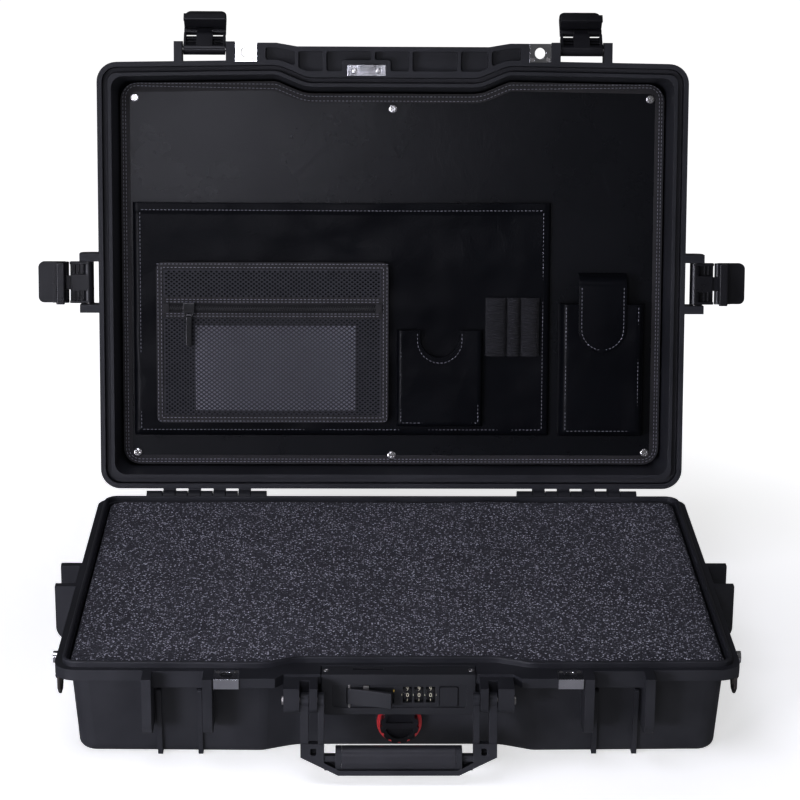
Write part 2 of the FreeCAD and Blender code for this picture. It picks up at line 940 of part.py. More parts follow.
def base_shell():
    body = rim_loft(wall_reach, wall_inset, wall_corner_radius, foot_height, flange_bottom)
    body = body.makeFillet(bottom_round, edges_at(body, foot_height))
    foot_radius = wall_corner_radius
    parts = [body, rim_prism(foot_inset, foot_radius, 0, foot_height)]
    parts.append(rim_prism(0, rim_corner_radius, flange_bottom, parting_height))
    tongue = rim_ring(tongue_inset, tongue_thickness, parting_height, parting_height + tongue_height)
    tongue = tongue.makeFillet(tongue_round, edges_at(tongue, parting_height + tongue_height))
    parts.append(tongue)
    for station in latch_stations:
        parts += [at_station(piece, station) for piece in base_latch_mount()]
    shelf = flat_slab(shelf_outline(), 0, parting_height - shelf_thickness, parting_height)
    side_parts = [shelf, handle_boss(), lock_lug(), strap_lug()] + base_hinge()
    parts += side_parts + [mirrored(piece) for piece in side_parts]
    parts.append(valve_rod(valve_boss_radius, valve_face_front, valve_face_front - wall_inset))
    shell = join(parts)
    low_inset = wall_reach + wall_thickness - wall_share_of_draft(floor_thickness)
    high_inset = wall_inset + wall_thickness
    cavity = rim_loft(low_inset, high_inset, cavity_corner_radius, floor_thickness, flange_bottom)
    shell = shell.cut(cavity)
    ledge = parting_height - foam_ledge_depth
    shell = shell.cut(rim_prism(high_inset, cavity_corner_radius, flange_bottom, ledge))
    top = parting_height + tongue_height + overrun
    shell = shell.cut(rim_prism(foam_ledge_inset, cavity_corner_radius, ledge, top))
    inner_boss = valve_rod(valve_inner_boss_radius, valve_face_front, valve_inner_face)
    shell = shell.fuse(inner_boss).removeSplitter()
    cuts = [lock_bay(), valve_rod(valve_stem_radius + running_clearance, valve_face_front + overrun, 0)]
    tools = [hinge_pin(running_clearance, overrun), pivot_bore(), stud_neck(stud_neck_radius)]
    low = parting_height - shelf_thickness - overrun
    tools.append(hasp_centre_line(low, parting_height + overrun, hasp_hole_radius))
    recess_low = parting_height - hasp_thickness
    tools.append(hasp_recess(shelf_front + overrun, recess_low, parting_height + overrun))
    for x, y in rivet_spots():
        start = vector(x, y, recess_low - rivet_depth)
        tools.append(rod(rivet_radius, start, vector(x, y, parting_height)))
    tools.append(lock_screw_room(lock_screw_x))
    cuts += tools + [mirrored(tool) for tool in tools]
    return shell.cut(cuts)


def wall_share_of_draft(height):
    return base_draft * height / flange_bottom


def lid_outline_points(front, mid_front, back):
    """Front ledge of the lid, between the inner latch ears."""
    end = front_latch_centre - ear_inner
    right = [
        (bumper_break_inner, -mid_front),
        (bumper_break_outer, -front),
        (end, -front),
        (end, -back),
    ]
    left = [(-x, y) for x, y in reversed(right)]
    return left + right


def keeper_block():
    left = keeper_left - keeper_block_margin
    right = keeper_right + keeper_block_margin
    front = keeper_front + keeper_block_margin
    high = parting_height + bumper_pocket_depth + overrun
    return block(left, right, -front, 0, parting_height - overrun, high)


def bumper_pockets():
    """Hollows in the underside of the lid ledge, between its ribs."""
    low = parting_height - overrun
    high = parting_height + bumper_pocket_depth
    outline = lid_outline_points(bumper_front, bumper_mid_front, rim_half_depth - wall_inset)
    field = flat_slab(inset_points(outline, bumper_wall), 0, low, high)
    field = field.cut(rim_prism(-bumper_back_gap, rim_corner_radius, low - overrun, high + overrun))
    ribs = [share * bumper_break_inner for share in bumper_rib_shares]
    ends = [-bumper_pocket_outer] + ribs + [bumper_pocket_outer]
    spans = zip(ends, ends[1:])
    pockets = []
    for start, end in spans:
        tool_low = start + bumper_rib / 2
        tool = block(tool_low, end - bumper_rib / 2, -bumper_front, -jog_front + wall_inset, low, high)
        pocket = tool.common(field).cut(keeper_block())
        upright = [edge for edge in pocket.Edges if is_upright(edge)]
        pockets.append(pocket.makeFillet(bumper_pocket_round, upright))
    return pockets


def is_upright(edge):
    box = edge.BoundBox
    return box.XLength + box.YLength < match_share * parting_height


def organizer_spots():
    half = rim_half_width - organizer_screw_side
    front = organizer_screw_front - rim_half_depth
    back = rim_half_depth - organizer_screw_back
    return [
        (-half, front),
        (0, organizer_mid_front - rim_half_depth),
        (half, front),
        (-half, back),
        (0, rim_half_depth - organizer_mid_back),
        (half, back),
    ]


def keeper_screw_spots():
    return [
        (keeper_left + keeper_screw_inset, keeper_screw_y),
        (keeper_right - keeper_screw_inset, keeper_screw_y),
    ]


def lid_shell():
    rim_top = parting_height + lid_flange_height
    lid_reach = wall_inset + lid_draft
    body = rim_loft(wall_inset, lid_reach, wall_corner_radius, rim_top - wall_bite, lid_roof)
    body = body.makeFillet(lid_top_round, edges_at(body, lid_roof))
    parts = [body, rim_prism(0, rim_corner_radius, parting_height, rim_top)]
    panel_top = lid_roof + lid_top_panel_height
    parts.append(rim_prism(lid_top_panel_inset, wall_corner_radius, lid_roof - wall_bite, panel_top))
    outline = lid_outline_points(bumper_front, bumper_mid_front, rim_half_depth - wall_inset)
    parts.append(flat_slab(outline, 0, parting_height, rim_top))
    for station in latch_stations:
        parts += [at_station(piece, station) for piece in lid_latch_mount()]
    parts += lid_hinge() + [mirrored(piece) for piece in lid_hinge()]
    shell = join(parts)
    roof = lid_roof - wall_thickness
    high_inset = wall_thickness + lid_reach
    cavity = rim_loft(lid_cavity_inset, high_inset, cavity_corner_radius, parting_height, roof)
    shell = shell.cut(cavity)
    groove = rim_ring(groove_inset, groove_width, parting_height - overrun, parting_height + groove_depth)
    shell = shell.cut([groove] + bumper_pockets())
    boss_low = organizer_face + organizer_thickness
    bosses = []
    for x, y in organizer_spots():
        bosses.append(rod(organizer_boss_radius, vector(x, y, boss_low), vector(x, y, roof + wall_bite)))
    shell = shell.fuse(bosses)
    tools = [hinge_pin(running_clearance, overrun)]
    tools.append(hasp_centre_line(parting_height - overrun, rim_top + overrun, hasp_hole_radius))
    recess_high = parting_height + hasp_thickness
    tools.append(hasp_recess(bumper_front + overrun, parting_height - overrun, recess_high))
    for x, y in rivet_spots():
        end = vector(x, y, recess_high + rivet_depth)
        tools.append(rod(rivet_radius, vector(x, y, parting_height), end))
    cuts = tools + [mirrored(tool) for tool in tools]
    for station in latch_stations:
        bore = moved(latch_pin(-overrun, latch_pin_radius), vector(0, latch_pin_reach, latch_pin_height))
        cuts.append(at_station(bore, station))
    for x, y in organizer_spots():
        cuts.append(rod(organizer_shank_radius, vector(x, y, boss_low - overrun), vector(x, y, roof)))
    cuts.append(keeper_recess())
    for x, y in keeper_screw_spots():
        deep = parting_height + screw_shank_length + keeper_thickness
        cuts.append(rod(screw_shank_radius, vector(x, y, parting_height), vector(x, y, deep)))
    return opened(shell.cut(cuts))


def keeper_recess():
    gap = hasp_gap
    low = parting_height - overrun
    front = -keeper_front - gap
    high = parting_height + keeper_thickness
    return block(keeper_left - gap, keeper_right + gap, front, -keeper_back + gap, low, high)


def lid_seal():
    low_inset = groove_inset + seal_clearance
    width = groove_width - 2 * seal_clearance
    roof = parting_height + groove_depth
    ring = rim_ring(low_inset, width, roof - seal_thickness, roof)
    return opened(ring.makeFillet(seal_round, edges_at(ring, roof - seal_thickness)))


def hasp_plate(front, low, high):
    half = hasp_width / 2
    plate = block(hasp_centre - half, hasp_centre + half, -front, -hasp_back, low, high)
    plate = plate.cut(hasp_centre_line(low - overrun, high + overrun, hasp_hole_radius))
    for x, y in rivet_spots():
        plate = plate.cut(rod(rivet_radius, vector(x, y, low - overrun), vector(x, y, high + overrun)))
        sink = vector(x, y, parting_height - rivet_head_height)
        plate = plate.cut(rod(rivet_head_radius, sink, vector(x, y, parting_height + rivet_head_height)))
    return plate


def base_hasp_plates():
    low = parting_height - hasp_thickness
    front = shelf_front + hasp_thickness
    plate = hasp_plate(front, low, parting_height)
    half = hasp_width / 2
    lip_low = parting_height - hasp_lip_height
    lip = block(hasp_centre - half, hasp_centre + half, -front, -shelf_front, lip_low, parting_height)
    plate = plate.fuse(lip).removeSplitter()
    return Part.makeCompound([plate, mirrored(plate)])


def lid_hasp_plates():
    plate = hasp_plate(bumper_front, parting_height, parting_height + hasp_thickness)
    return opened(Part.makeCompound([plate, mirrored(plate)]))


def rivets(face, direction):
    """Rivets of both plates of one shell, with their heads sunk flush with the given face."""
    up = axis_z * direction
    pieces = []
    for x, y in rivet_spots():
        at = vector(x, y, face)
        shank = rod(rivet_radius, at - up * (hasp_thickness + rivet_depth), at)
        head = rod(rivet_head_radius, at - up * rivet_head_height, at)
        pieces.append(shank.fuse(head).removeSplitter())
    return Part.makeCompound(pieces + [mirrored(piece) for piece in pieces])


def pan_screw(x, y, face, direction, shank_length):
    """Small screw whose head sits on a face, with its driving slot."""
    up = axis_z * direction
    at = vector(x, y, face)
    head = rod(screw_head_radius, at, at + up * screw_head_height)
    shank = rod(screw_shank_radius, at - up * shank_length, at)
    half = screw_slot_width / 2
    deep = face + direction * (screw_head_height - screw_slot_depth)
    past = face + direction * (screw_head_height + overrun)
    reach = screw_head_radius + overrun
    low, high = sorted((deep, past))
    slot = block(x - reach, x + reach, y - half, y + half, low, high)
    return head.fuse(shank).removeSplitter().cut(slot)


def lock_keeper():
    low = parting_height
    plate = block(keeper_left, keeper_right, -keeper_front, -keeper_back, low, low + keeper_thickness)
    tab_low = low - keeper_tab_drop
    tab_back = keeper_thickness - keeper_front
    tab = block(keeper_tab_left, keeper_tab_right, -keeper_front, tab_back, tab_low, low + keeper_thickness)
    window_low = tab_low + keeper_window_low
    margin = hook_width / 2
    window = block(
        hook_left - margin,
        hook_left + hook_width + margin,
        -keeper_front - overrun,
        tab_back + overrun,
        window_low,
        window_low + keeper_window_height,
    )
    keeper = plate.fuse(tab).removeSplitter().cut(window)
    for x, y in keeper_screw_spots():
        start = vector(x, y, low - overrun)
        keeper = keeper.cut(rod(screw_shank_radius, start, vector(x, y, low + overrun)))
        sink = vector(x, y, low + screw_head_height)
        keeper = keeper.cut(rod(screw_head_radius + running_clearance, start, sink))
    return opened(keeper)


def keeper_screws():
    length = screw_shank_length + keeper_thickness - screw_head_height
    seat = parting_height + screw_head_height
    screws = [pan_screw(x, y, seat, -1, length) for x, y in keeper_screw_spots()]
    return opened(Part.makeCompound(screws))


# Lock, in its housing between the handle bosses
lock_top = parting_height - lock_top_gap
lock_face = lock_front - lock_face_depth
lever_back = lock_front - lock_lever_inset - lock_lever_thickness
lever_floor = lock_face - lever_pocket_depth
hook_front = lever_back - hook_gap
dial_y = lock_face + dial_proud - dial_radius
button_front = lock_face + button_proud
lever_pin_x = lock_lever_left + lock_lever_barrel
lever_pin_y = -lever_back - lock_lever_barrel
spring_seat = spring_socket - button_front


def dial_centres():
    return [dial_first + index * dial_pitch for index in range(dial_count)]


def dial_shaft(clearance):
    reach = dial_width / 2 + dial_shaft_margin + clearance
    low = vector(dial_first - reach, -dial_y, dial_height)
    return rod(dial_shaft_radius + clearance, low, vector(dial_centres()[-1] + reach, -dial_y, dial_height))


def button_outline(gap):
    half = button_width / 2 + gap
    return rectangle(button_centre - half, button_centre + half, button_bottom - gap, button_top + gap)


def lock_slots():
    left = hook_left - hook_gap
    right = hook_left + hook_width + hook_gap
    back = -hook_front + hook_step_back + hook_gap
    low = hook_leg_bottom - hook_gap
    step_top = hook_step_top + hook_gap
    leg_front = -hook_front - hook_travel + hook_step_back - hook_thickness - hook_gap
    open_front = block(left, right, -lock_front - overrun, back, low, step_top)
    inner = block(left, right, leg_front, -hook_slot_front + overrun, low, hook_finger_top + hook_gap)
    tab_low = parting_height - keeper_tab_drop - hook_slot_floor_gap
    tab_top = lock_top + overrun
    tab = block(hook_slot_left, hook_slot_right, -hook_slot_front, -hook_slot_back, tab_low, tab_top)
    return [open_front, inner, tab]


def lock_housing():
    half = lock_half
    low_half = half - lock_bottom_taper
    outline = [
        (-low_half, lock_bottom),
        (low_half, lock_bottom),
        (half, lock_bottom + lock_bottom_taper),
        (half, lock_top),
        (-half, lock_top),
        (-half, lock_bottom + lock_bottom_taper),
    ]
    plate = front_slab(outline, 0, -lock_front, lock_plate_depth - lock_front)
    back = -jog_front - lock_back_gap
    top = block(-half, half, -lock_front, back, lock_deep_top, lock_top)
    deep_half = lock_deep_half
    deep = block(-deep_half, deep_half, -lock_front, -lock_deep_back, lock_bottom, lock_deep_top)
    housing = join([plate, top, deep])
    face = rectangle(lock_face_left, lock_face_right, lock_face_bottom, lock_face_top)
    cuts = [front_slab(face, lock_face_round, -lock_front - overrun, -lock_face)]
    gap = lock_lever_gap
    right = lock_lever_left + lock_lever_length + gap
    lever_high = lock_lever_top + gap
    left = lock_lever_left - gap
    cuts.append(block(left, right, -lock_front, -lever_floor, lock_lever_bottom - gap, lever_high))
    bore_low = vector(lever_pin_x, lever_pin_y, lock_lever_bottom - gap - lock_lever_thickness)
    bore_high = vector(lever_pin_x, lever_pin_y, lock_lever_top + gap + lock_lever_thickness)
    cuts.append(rod(lock_lever_pin_radius, bore_low, bore_high))
    cuts += lock_slots()
    for x in dial_centres():
        reach = dial_width / 2 + dial_pocket_gap
        start = vector(x - reach, -dial_y, dial_height)
        cuts.append(rod(dial_radius + dial_pocket_gap, start, vector(x + reach, -dial_y, dial_height)))
        window_half = dial_window_height / 2
        window_low = dial_height - window_half
        window_back = dial_window_depth - lock_face
        window_top = dial_height + window_half
        cuts.append(block(x - reach, x + reach, -lock_front, window_back, window_low, window_top))
    cuts.append(dial_shaft(running_clearance))
    button_back = button_depth - button_front + spring_travel + button_gap
    cuts.append(front_slab(button_outline(button_gap), button_round, -lock_front, button_back))
    spring_room = spring_radius + spring_wire + button_gap
    centre_z = (button_bottom + button_top) / 2
    floor = vector(button_centre, -button_bore_back, centre_z)
    cuts.append(rod(spring_room, vector(button_centre, -button_front, centre_z), floor))
    for side in (-1, 1):
        cuts.append(lock_screw_room(side * lock_screw_x))
    return housing.cut(cuts)


def lock_screw_room(x):
    head_low = lock_top - screw_head_height
    at = vector(x, lock_screw_y, head_low)
    head = rod(screw_head_radius + hasp_gap, at, at + axis_z * (screw_head_height + overrun))
    return head.fuse(rod(screw_shank_radius, at - axis_z * lock_screw_shank, at))


def lock_screws():
    face = lock_top - screw_head_height
    sides = [side * lock_screw_x for side in (-1, 1)]
    screws = [pan_screw(x, lock_screw_y, face, 1, lock_screw_shank) for x in sides]
    return Part.makeCompound(screws)


def lock_lug():
    """Moulded lug of the base that takes one screw of the lock housing."""
    low_x = lock_deep_half + lock_lug_gap
    front = lock_plate_depth + lock_lug_gap - lock_front
    back = -jog_front + wall_inset + wall_bite
    top = lock_deep_top - lock_lug_gap / 2
    return block(low_x, boss_inner + wall_bite, front, back, boss_bottom, top)


def lock_lever():
    front = -lever_back - lock_lever_thickness
    right = lock_lever_left + lock_lever_length
    body = block(lever_pin_x, right, front, -lever_back, lock_lever_bottom, lock_lever_top)
    low = vector(lever_pin_x, lever_pin_y, lock_lever_bottom)
    high = vector(lever_pin_x, lever_pin_y, lock_lever_top)
    barrel = rod(lock_lever_barrel - lock_lever_inset / 2, low, high)
    lever = join([body, barrel])
    bore_radius = lock_lever_pin_radius + running_clearance
    lever = lever.cut(rod(bore_radius, low - axis_z * overrun, high + axis_z * overrun))
    return turned(lever, vector(lever_pin_x, lever_pin_y, 0), axis_z, -lock_lever_open_angle)


def lock_lever_pin():
    reach = lock_lever_gap + lock_lever_thickness
    low = vector(lever_pin_x, lever_pin_y, lock_lever_bottom - reach)
    return rod(lock_lever_pin_radius, low, vector(lever_pin_x, lever_pin_y, lock_lever_top + reach))


def lock_hook():
    front = -hook_front
    middle = front + hook_step_back - hook_thickness
    back = front + hook_step_back
    tip = back + hook_finger_reach
    step_low = hook_step_top - hook_step_thickness
    finger_low = hook_finger_top - hook_finger_height
    profile = [
        (front, hook_leg_bottom),
        (front + hook_thickness, hook_leg_bottom),
        (front + hook_thickness, step_low),
        (back, step_low),
        (back, finger_low),
        (tip, finger_low),
        (tip, hook_finger_top),
        (middle, hook_finger_top),
        (middle, hook_step_top),
        (front, hook_step_top),
    ]
    hook = side_slab(profile, 0, hook_left, hook_left + hook_width)
    return moved(hook, axis_y * -hook_travel)


def lock_dial(x):
    half = dial_width / 2
    dial = rod(dial_radius, vector(x - half, -dial_y, dial_height), vector(x + half, -dial_y, dial_height))
    low = vector(x - half - overrun, -dial_y, dial_height)
    high = vector(x + half + overrun, -dial_y, dial_height)
    cuts = [rod(dial_shaft_radius + running_clearance, low, high)]
    for index in range(dial_faces):
        notch = rod(dial_notch_radius, low + axis_z * dial_radius, high + axis_z * dial_radius)
        angle = (index + 1 / 2) * full_turn / dial_faces
        cuts.append(turned(notch, vector(0, -dial_y, dial_height), axis_x, angle + full_turn / 4))
    return dial.cut(cuts)


def lock_button():
    button = front_slab(button_outline(0), button_round, -button_front, button_depth - button_front)
    centre_z = (button_bottom + button_top) / 2
    start = vector(button_centre, spring_seat, centre_z)
    end = vector(button_centre, button_depth - button_front + overrun, centre_z)
    return button.cut(rod(spring_radius + spring_wire + button_gap, start, end))


def lock_button_spring():
    """Coil of half circles on alternately tilted chords, which meet tangentially."""
    low = spring_seat + spring_end_gap + spring_wire
    high = -button_bore_back - spring_end_gap - spring_wire
    halves = 2 * spring_turns
    rise = (high - low) / halves
    centre_z = (button_bottom + button_top) / 2
    half_chord = math.hypot(2 * spring_radius, rise) / 2
    arcs = []
    for index in range(halves):
        side = 1 if index % 2 == 0 else -1
        y = low + index * rise
        start = vector(button_centre + side * spring_radius, y, centre_z)
        middle = vector(button_centre, y + rise / 2, centre_z + side * half_chord)
        end = vector(button_centre - side * spring_radius, y + rise, centre_z)
        arcs.append(Part.Arc(start, middle, end).toShape())
    start = vector(button_centre + spring_radius, low, centre_z)
    ring = Part.Wire([Part.Circle(start, axis_z, spring_wire).toShape()])
    print("spring: least gap between turns", round(2 * rise - 2 * spring_wire, 3))
    return Part.Wire(arcs).makePipeShell([ring], True, False)


valve_socket_end = valve_face_front + valve_collar_thickness + valve_spindle_length + valve_knob_gap


def purge_valve_body():
    face = valve_face_front
    stem = valve_rod(valve_stem_radius, face + valve_collar_thickness, valve_stem_back)
    collar_radius = valve_ring_inner - soft_gap
    collar = valve_rod(collar_radius, face + valve_collar_thickness, face)
    spindle_front = face + valve_collar_thickness + valve_spindle_length
    spindle = valve_rod(valve_spindle_radius, spindle_front, face)
    return join([stem, collar, spindle])


def purge_valve_ring():
    front = valve_face_front + valve_ring_thickness
    ring = valve_rod(valve_ring_radius, front, valve_face_front)
    return ring.cut(valve_rod(valve_ring_inner, front + overrun, valve_face_front - overrun))


def purge_valve_knob():
    back = valve_face_front + valve_collar_thickness + valve_knob_gap
    front = back + valve_knob_depth
    knob = valve_rod(valve_knob_radius, front, back)
    recess = valve_rod(valve_knob_recess_radius, front + overrun, front - valve_knob_recess)
    cuts = [recess, valve_rod(valve_spindle_radius + running_clearance, valve_socket_end, back - overrun)]
    centre = vector(valve_x, 0, valve_height)
    groove = valve_rod(valve_notch_radius, front + overrun, back - overrun)
    for index in range(valve_knob_notches):
        notch = moved(groove, axis_z * valve_knob_radius)
        cuts.append(turned(notch, centre, axis_y, index * full_turn / valve_knob_notches))
    grip = block(
        valve_x - valve_knob_recess_radius,
        valve_x + valve_knob_recess_radius,
        -front,
        valve_knob_recess - front,
        valve_height - valve_grip_half,
        valve_height + valve_grip_half,
    )
    grip = grip.common(valve_rod(valve_knob_recess_radius, front, back))
    return knob.cut(cuts).fuse(grip).removeSplitter()


def purge_valve_nut():
    corners = []
    radius = valve_nut_across / 2 / math.cos(math.pi / nut_sides)
    for index in range(nut_sides):
        angle = 2 * math.pi * index / nut_sides
        corners.append((valve_x + radius * math.cos(angle), valve_height + radius * math.sin(angle)))
    nut = front_slab(corners, 0, -valve_inner_face, valve_nut_thickness - valve_inner_face)
    return nut.cut(valve_rod(valve_stem_radius, valve_inner_face + overrun, valve_stem_back - overrun))


def in_handle_frame(shape):
    """A handle piece, drawn hanging straight down from its pivot, where it rests."""
    swung = turned(shape, origin, axis_x, -handle_rest_swing)
    return moved(swung, vector(0, -handle_pivot_front, handle_pivot_height))


def handle_frame():
    inner_edge = handle_inner_arm_edge
    inner_arm = inner_edge + handle_arm_inner
    outer_arm = handle_outer_half - handle_arm_outer
    end = grip_half + grip_end_length
    bottom = -handle_length
    floor = bottom + handle_strap
    grip_top = floor + grip_height
    strut_top = floor + grip_height / 2 + strut_width / 2
    rise = handle_length - handle_shoulder
    run = handle_outer_half - handle_bottom_half
    strap_rise = handle_strap * math.hypot(run, rise) / run
    corner_z = bottom + (inner_edge - handle_bottom_half) * rise / run + strap_rise
    corner_x = handle_bottom_half - (strap_rise - handle_strap) * run / rise
    half_depth = handle_strap_depth / 2
    arm_half = handle_arm_depth / 2
    strap_outline = [
        (-handle_bottom_half, bottom),
        (handle_bottom_half, bottom),
        (handle_outer_half, -handle_shoulder),
        (handle_outer_half, -handle_web_top),
        (inner_edge, -handle_web_top),
        (inner_edge, corner_z),
        (corner_x, floor),
        (-corner_x, floor),
        (-inner_edge, corner_z),
        (-inner_edge, -handle_web_top),
        (-handle_outer_half, -handle_web_top),
        (-handle_outer_half, -handle_shoulder),
    ]
    strap = front_slab(strap_outline, 0, -half_depth, half_depth)
    parts = [strap]
    eye_x = (outer_arm + inner_arm) / 2
    eye_half = handle_eye_width / 2
    eye_low = -handle_eye_top - handle_eye_height
    eye = rectangle(eye_x - eye_half, eye_x + eye_half, eye_low, -handle_eye_top)
    recess_back = half_depth - handle_recess_floor
    eye_tool = front_slab(eye, eye_half / 2, -half_depth - overrun, recess_back)
    arms = []
    for low, high in ((outer_arm, handle_outer_half), (inner_edge, inner_arm)):
        arms.append(rod(handle_knuckle_radius, vector(low, 0, 0), vector(high, 0, 0)))
        arms.append(block(low, high, -arm_half, arm_half, -handle_web_top - wall_bite, 0))
    arms.append(block(end, inner_edge, -arm_half, arm_half, strut_top - strut_width, strut_top))
    section = rectangle(-grip_depth / 2, grip_depth / 2, floor, grip_top)
    arms.append(side_slab(section, grip_round, grip_half, end))
    arms.append(block(end - wall_bite, inner_edge, recess_back, half_depth, bottom + wall_bite, strut_top))
    parts += arms + [mirrored(piece) for piece in arms]
    core_low = (floor + grip_top - grip_core) / 2
    core_half = grip_core / 2
    parts.append(block(-end, end, -core_half, core_half, core_low, core_low + grip_core))
    frame = join(parts).cut([eye_tool, mirrored(eye_tool)])
    reach = handle_outer_half + overrun
    bore = rod(handle_pin_radius + running_clearance, vector(-reach, 0, 0), vector(reach, 0, 0))
    return in_handle_frame(frame.cut(bore))


def handle_grip():
    floor = handle_strap - handle_length
    grip_top = floor + grip_height
    section = rectangle(-grip_depth / 2, grip_depth / 2, floor + grip_core_gap, grip_top)
    grip = side_slab(section, grip_round, grip_core_gap - grip_half, grip_half - grip_core_gap)
    core_half = grip_core / 2 + grip_core_gap
    core_mid = (floor + grip_top) / 2
    reach = grip_half + overrun
    core = block(-reach, reach, -core_half, core_half, core_mid - core_half, core_mid + core_half)
    return in_handle_frame(grip.cut(core))


def handle_pins():
    y = -handle_pivot_front
    z = handle_pivot_height
    head_end = boss_outer + handle_pin_head_height
    pin = rod(handle_pin_radius, vector(handle_inner_arm_edge, y, z), vector(boss_outer, y, z))
    head = rod(handle_pin_head_radius, vector(boss_outer, y, z), vector(head_end, y, z))
    pin = pin.fuse(head).removeSplitter()
    return Part.makeCompound([pin, mirrored(pin)])


def strap_studs():
    half = rim_width / 2
    start = vector(half, stud_y, stud_height)
    head = rod(stud_head_radius, start, vector(half + stud_head_thickness, stud_y, stud_height))
    stud = join([head, stud_neck(stud_neck_radius)])
    return Part.makeCompound([stud, mirrored(stud)])


def strap_ring():
    """Closed ring of round wire with bevelled corners, hanging from its bar in the lug."""
    place = side_plane(ring_x)
    low_y = ring_y - ring_width / 2
    high_y = ring_y + ring_width / 2
    low_z = ring_height - ring_drop
    outline = [
        (ring_y, low_z),
        (high_y - ring_corner, low_z),
        (high_y, low_z + ring_corner),
        (high_y, ring_height),
        (low_y, ring_height),
        (low_y, low_z + ring_corner),
        (low_y + ring_corner, low_z),
        (ring_y, low_z),
    ]
    path = Part.makePolygon([place(y, z) for y, z in outline])
    circle = Part.Wire([Part.Circle(place(ring_y, low_z), axis_y, ring_wire).toShape()])
    return path.makePipeShell([circle], True, False, mitred_corners)


def foam_lower():
    low = floor_thickness + soft_gap
    low_inset = wall_reach + wall_thickness + foam_wall_gap
    return rim_prism(low_inset, cavity_corner_radius, low, foam_split_height)


def base_foam_pad():
    notch_half = valve_nut_across / 2 + valve_foam_gap
    notch_back = -valve_stem_back + valve_foam_gap
    notch = block(
        valve_x - notch_half,
        valve_x + notch_half,
        -rim_half_depth,
        notch_back,
        0,
        valve_height + notch_half,
    )
    return foam_lower().cut(notch)


def base_foam_top():
    low = foam_split_height + soft_gap
    ledge = parting_height - foam_ledge_depth + soft_gap
    edge = parting_height - soft_gap
    top = parting_height + foam_top_proud
    lower_inset = wall_inset + wall_thickness + foam_wall_gap
    share = 1 - low / flange_bottom
    start_inset = lower_inset + base_draft * share + foam_wall_gap
    parts = [rim_loft(start_inset, lower_inset, cavity_corner_radius, low, ledge)]
    parts.append(rim_prism(foam_ledge_inset + foam_wall_gap, cavity_corner_radius, ledge, edge))
    crown_inset = lid_cavity_inset + foam_wall_gap
    crown = rim_prism(crown_inset, cavity_corner_radius, edge - wall_bite, top)
    crown = crown.makeFillet(foam_crown_round, edges_at(crown, top))
    return join(parts + [crown])


def organizer_panel():
    top = organizer_face + organizer_thickness
    panel = rim_prism(organizer_inset, organizer_corner_radius, organizer_face, top)
    cuts = []
    for x, y in organizer_spots():
        low = vector(x, y, organizer_face - overrun)
        cuts.append(rod(organizer_shank_radius, low, vector(x, y, top + overrun)))
    return opened(panel.cut(cuts))


def organizer_binding():
    """Folded webbing over the edge of the panel, drawn as a U-section."""
    gap = soft_gap
    inset = organizer_inset - gap - binding_cloth
    radius = organizer_corner_radius + gap + binding_cloth
    low = organizer_face - gap
    high = organizer_face + organizer_thickness + gap
    outer = rim_prism(inset, radius, low - binding_cloth, high + binding_cloth)
    hole_inset = organizer_inset + binding_width - binding_cloth
    hole_radius = organizer_corner_radius - binding_width
    hole_low = low - binding_cloth - overrun
    hole = rim_prism(hole_inset, hole_radius, hole_low, high + binding_cloth + overrun)
    groove = rim_prism(organizer_inset - gap, organizer_corner_radius, low, high)
    cuts = [hole, groove]
    for x, y in organizer_spots():
        start = vector(x, y, low - binding_cloth - overrun)
        cuts.append(rod(organizer_head_radius + gap, start, vector(x, y, high)))
        end = vector(x, y, high + binding_cloth + overrun)
        cuts.append(rod(organizer_boss_radius + gap, vector(x, y, low + binding_cloth), end))
    return opened(outer.cut(cuts))


def organizer_screws():
    screws = []
    for x, y in organizer_spots():
        at = vector(x, y, organizer_face)
        head_end = at - axis_z * organizer_head_height
        head = rod(organizer_head_radius, head_end, at)
        shank = rod(organizer_shank_radius, at, at + axis_z * organizer_shank_length)
        half = screw_slot_width / 2
        reach = organizer_head_radius + overrun
        slot_low = organizer_face - organizer_head_height - overrun
        slot_high = organizer_face - organizer_head_height + screw_slot_depth
        slot = block(x - reach, x + reach, y - half, y + half, slot_low, slot_high)
        screws.append(head.fuse(shank).removeSplitter().cut(slot))
    return opened(Part.makeCompound(screws))


def pocket_tray(outline, radii, cloth, base, gap):
    """Shallow pocket standing on a panel: a face sheet and its folded sides, open at its mouth."""
    low = base - soft_gap - gap - cloth
    high = base - soft_gap
    tray = flat_slab(outline, radii, low, high)
    inner_points = inset_points(outline, cloth)
    mouth = outline[0][1] - overrun
    inner_points[0] = (inner_points[0][0], mouth)
    inner_points[1] = (inner_points[1][0], mouth)
    inner_radii = [0, 0, max(radii[2] - cloth, 0), max(radii[3] - cloth, 0)]
    return tray.cut(flat_slab(inner_points, inner_radii, low + cloth, high + overrun))


def document_pocket():
    outline = rectangle(document_left, document_right, document_mouth, document_end)
    radii = [document_round] * len(outline)
    return opened(pocket_tray(outline, radii, pocket_cloth, organizer_face, document_gap))


mesh_face = document_face - soft_gap - mesh_gap - pocket_cloth


def net_window(low, high):
    return rectangle(mesh_left + mesh_border, mesh_right - mesh_border, low, high)


def mesh_spans():
    upper = (mesh_mouth + mesh_border, mesh_band_start)
    return [upper, (mesh_band_end, mesh_end - mesh_border)]


def mesh_pocket_frame():
    outline = rectangle(mesh_left, mesh_right, mesh_mouth, mesh_end)
    radii = [document_round] * len(outline)
    tray = pocket_tray(outline, radii, pocket_cloth, document_face, mesh_gap)
    for low, high in mesh_spans():
        window = net_window(low, high)
        tray = tray.cut(flat_slab(window, net_round, mesh_face - overrun, mesh_face + pocket_cloth))
    return opened(tray)


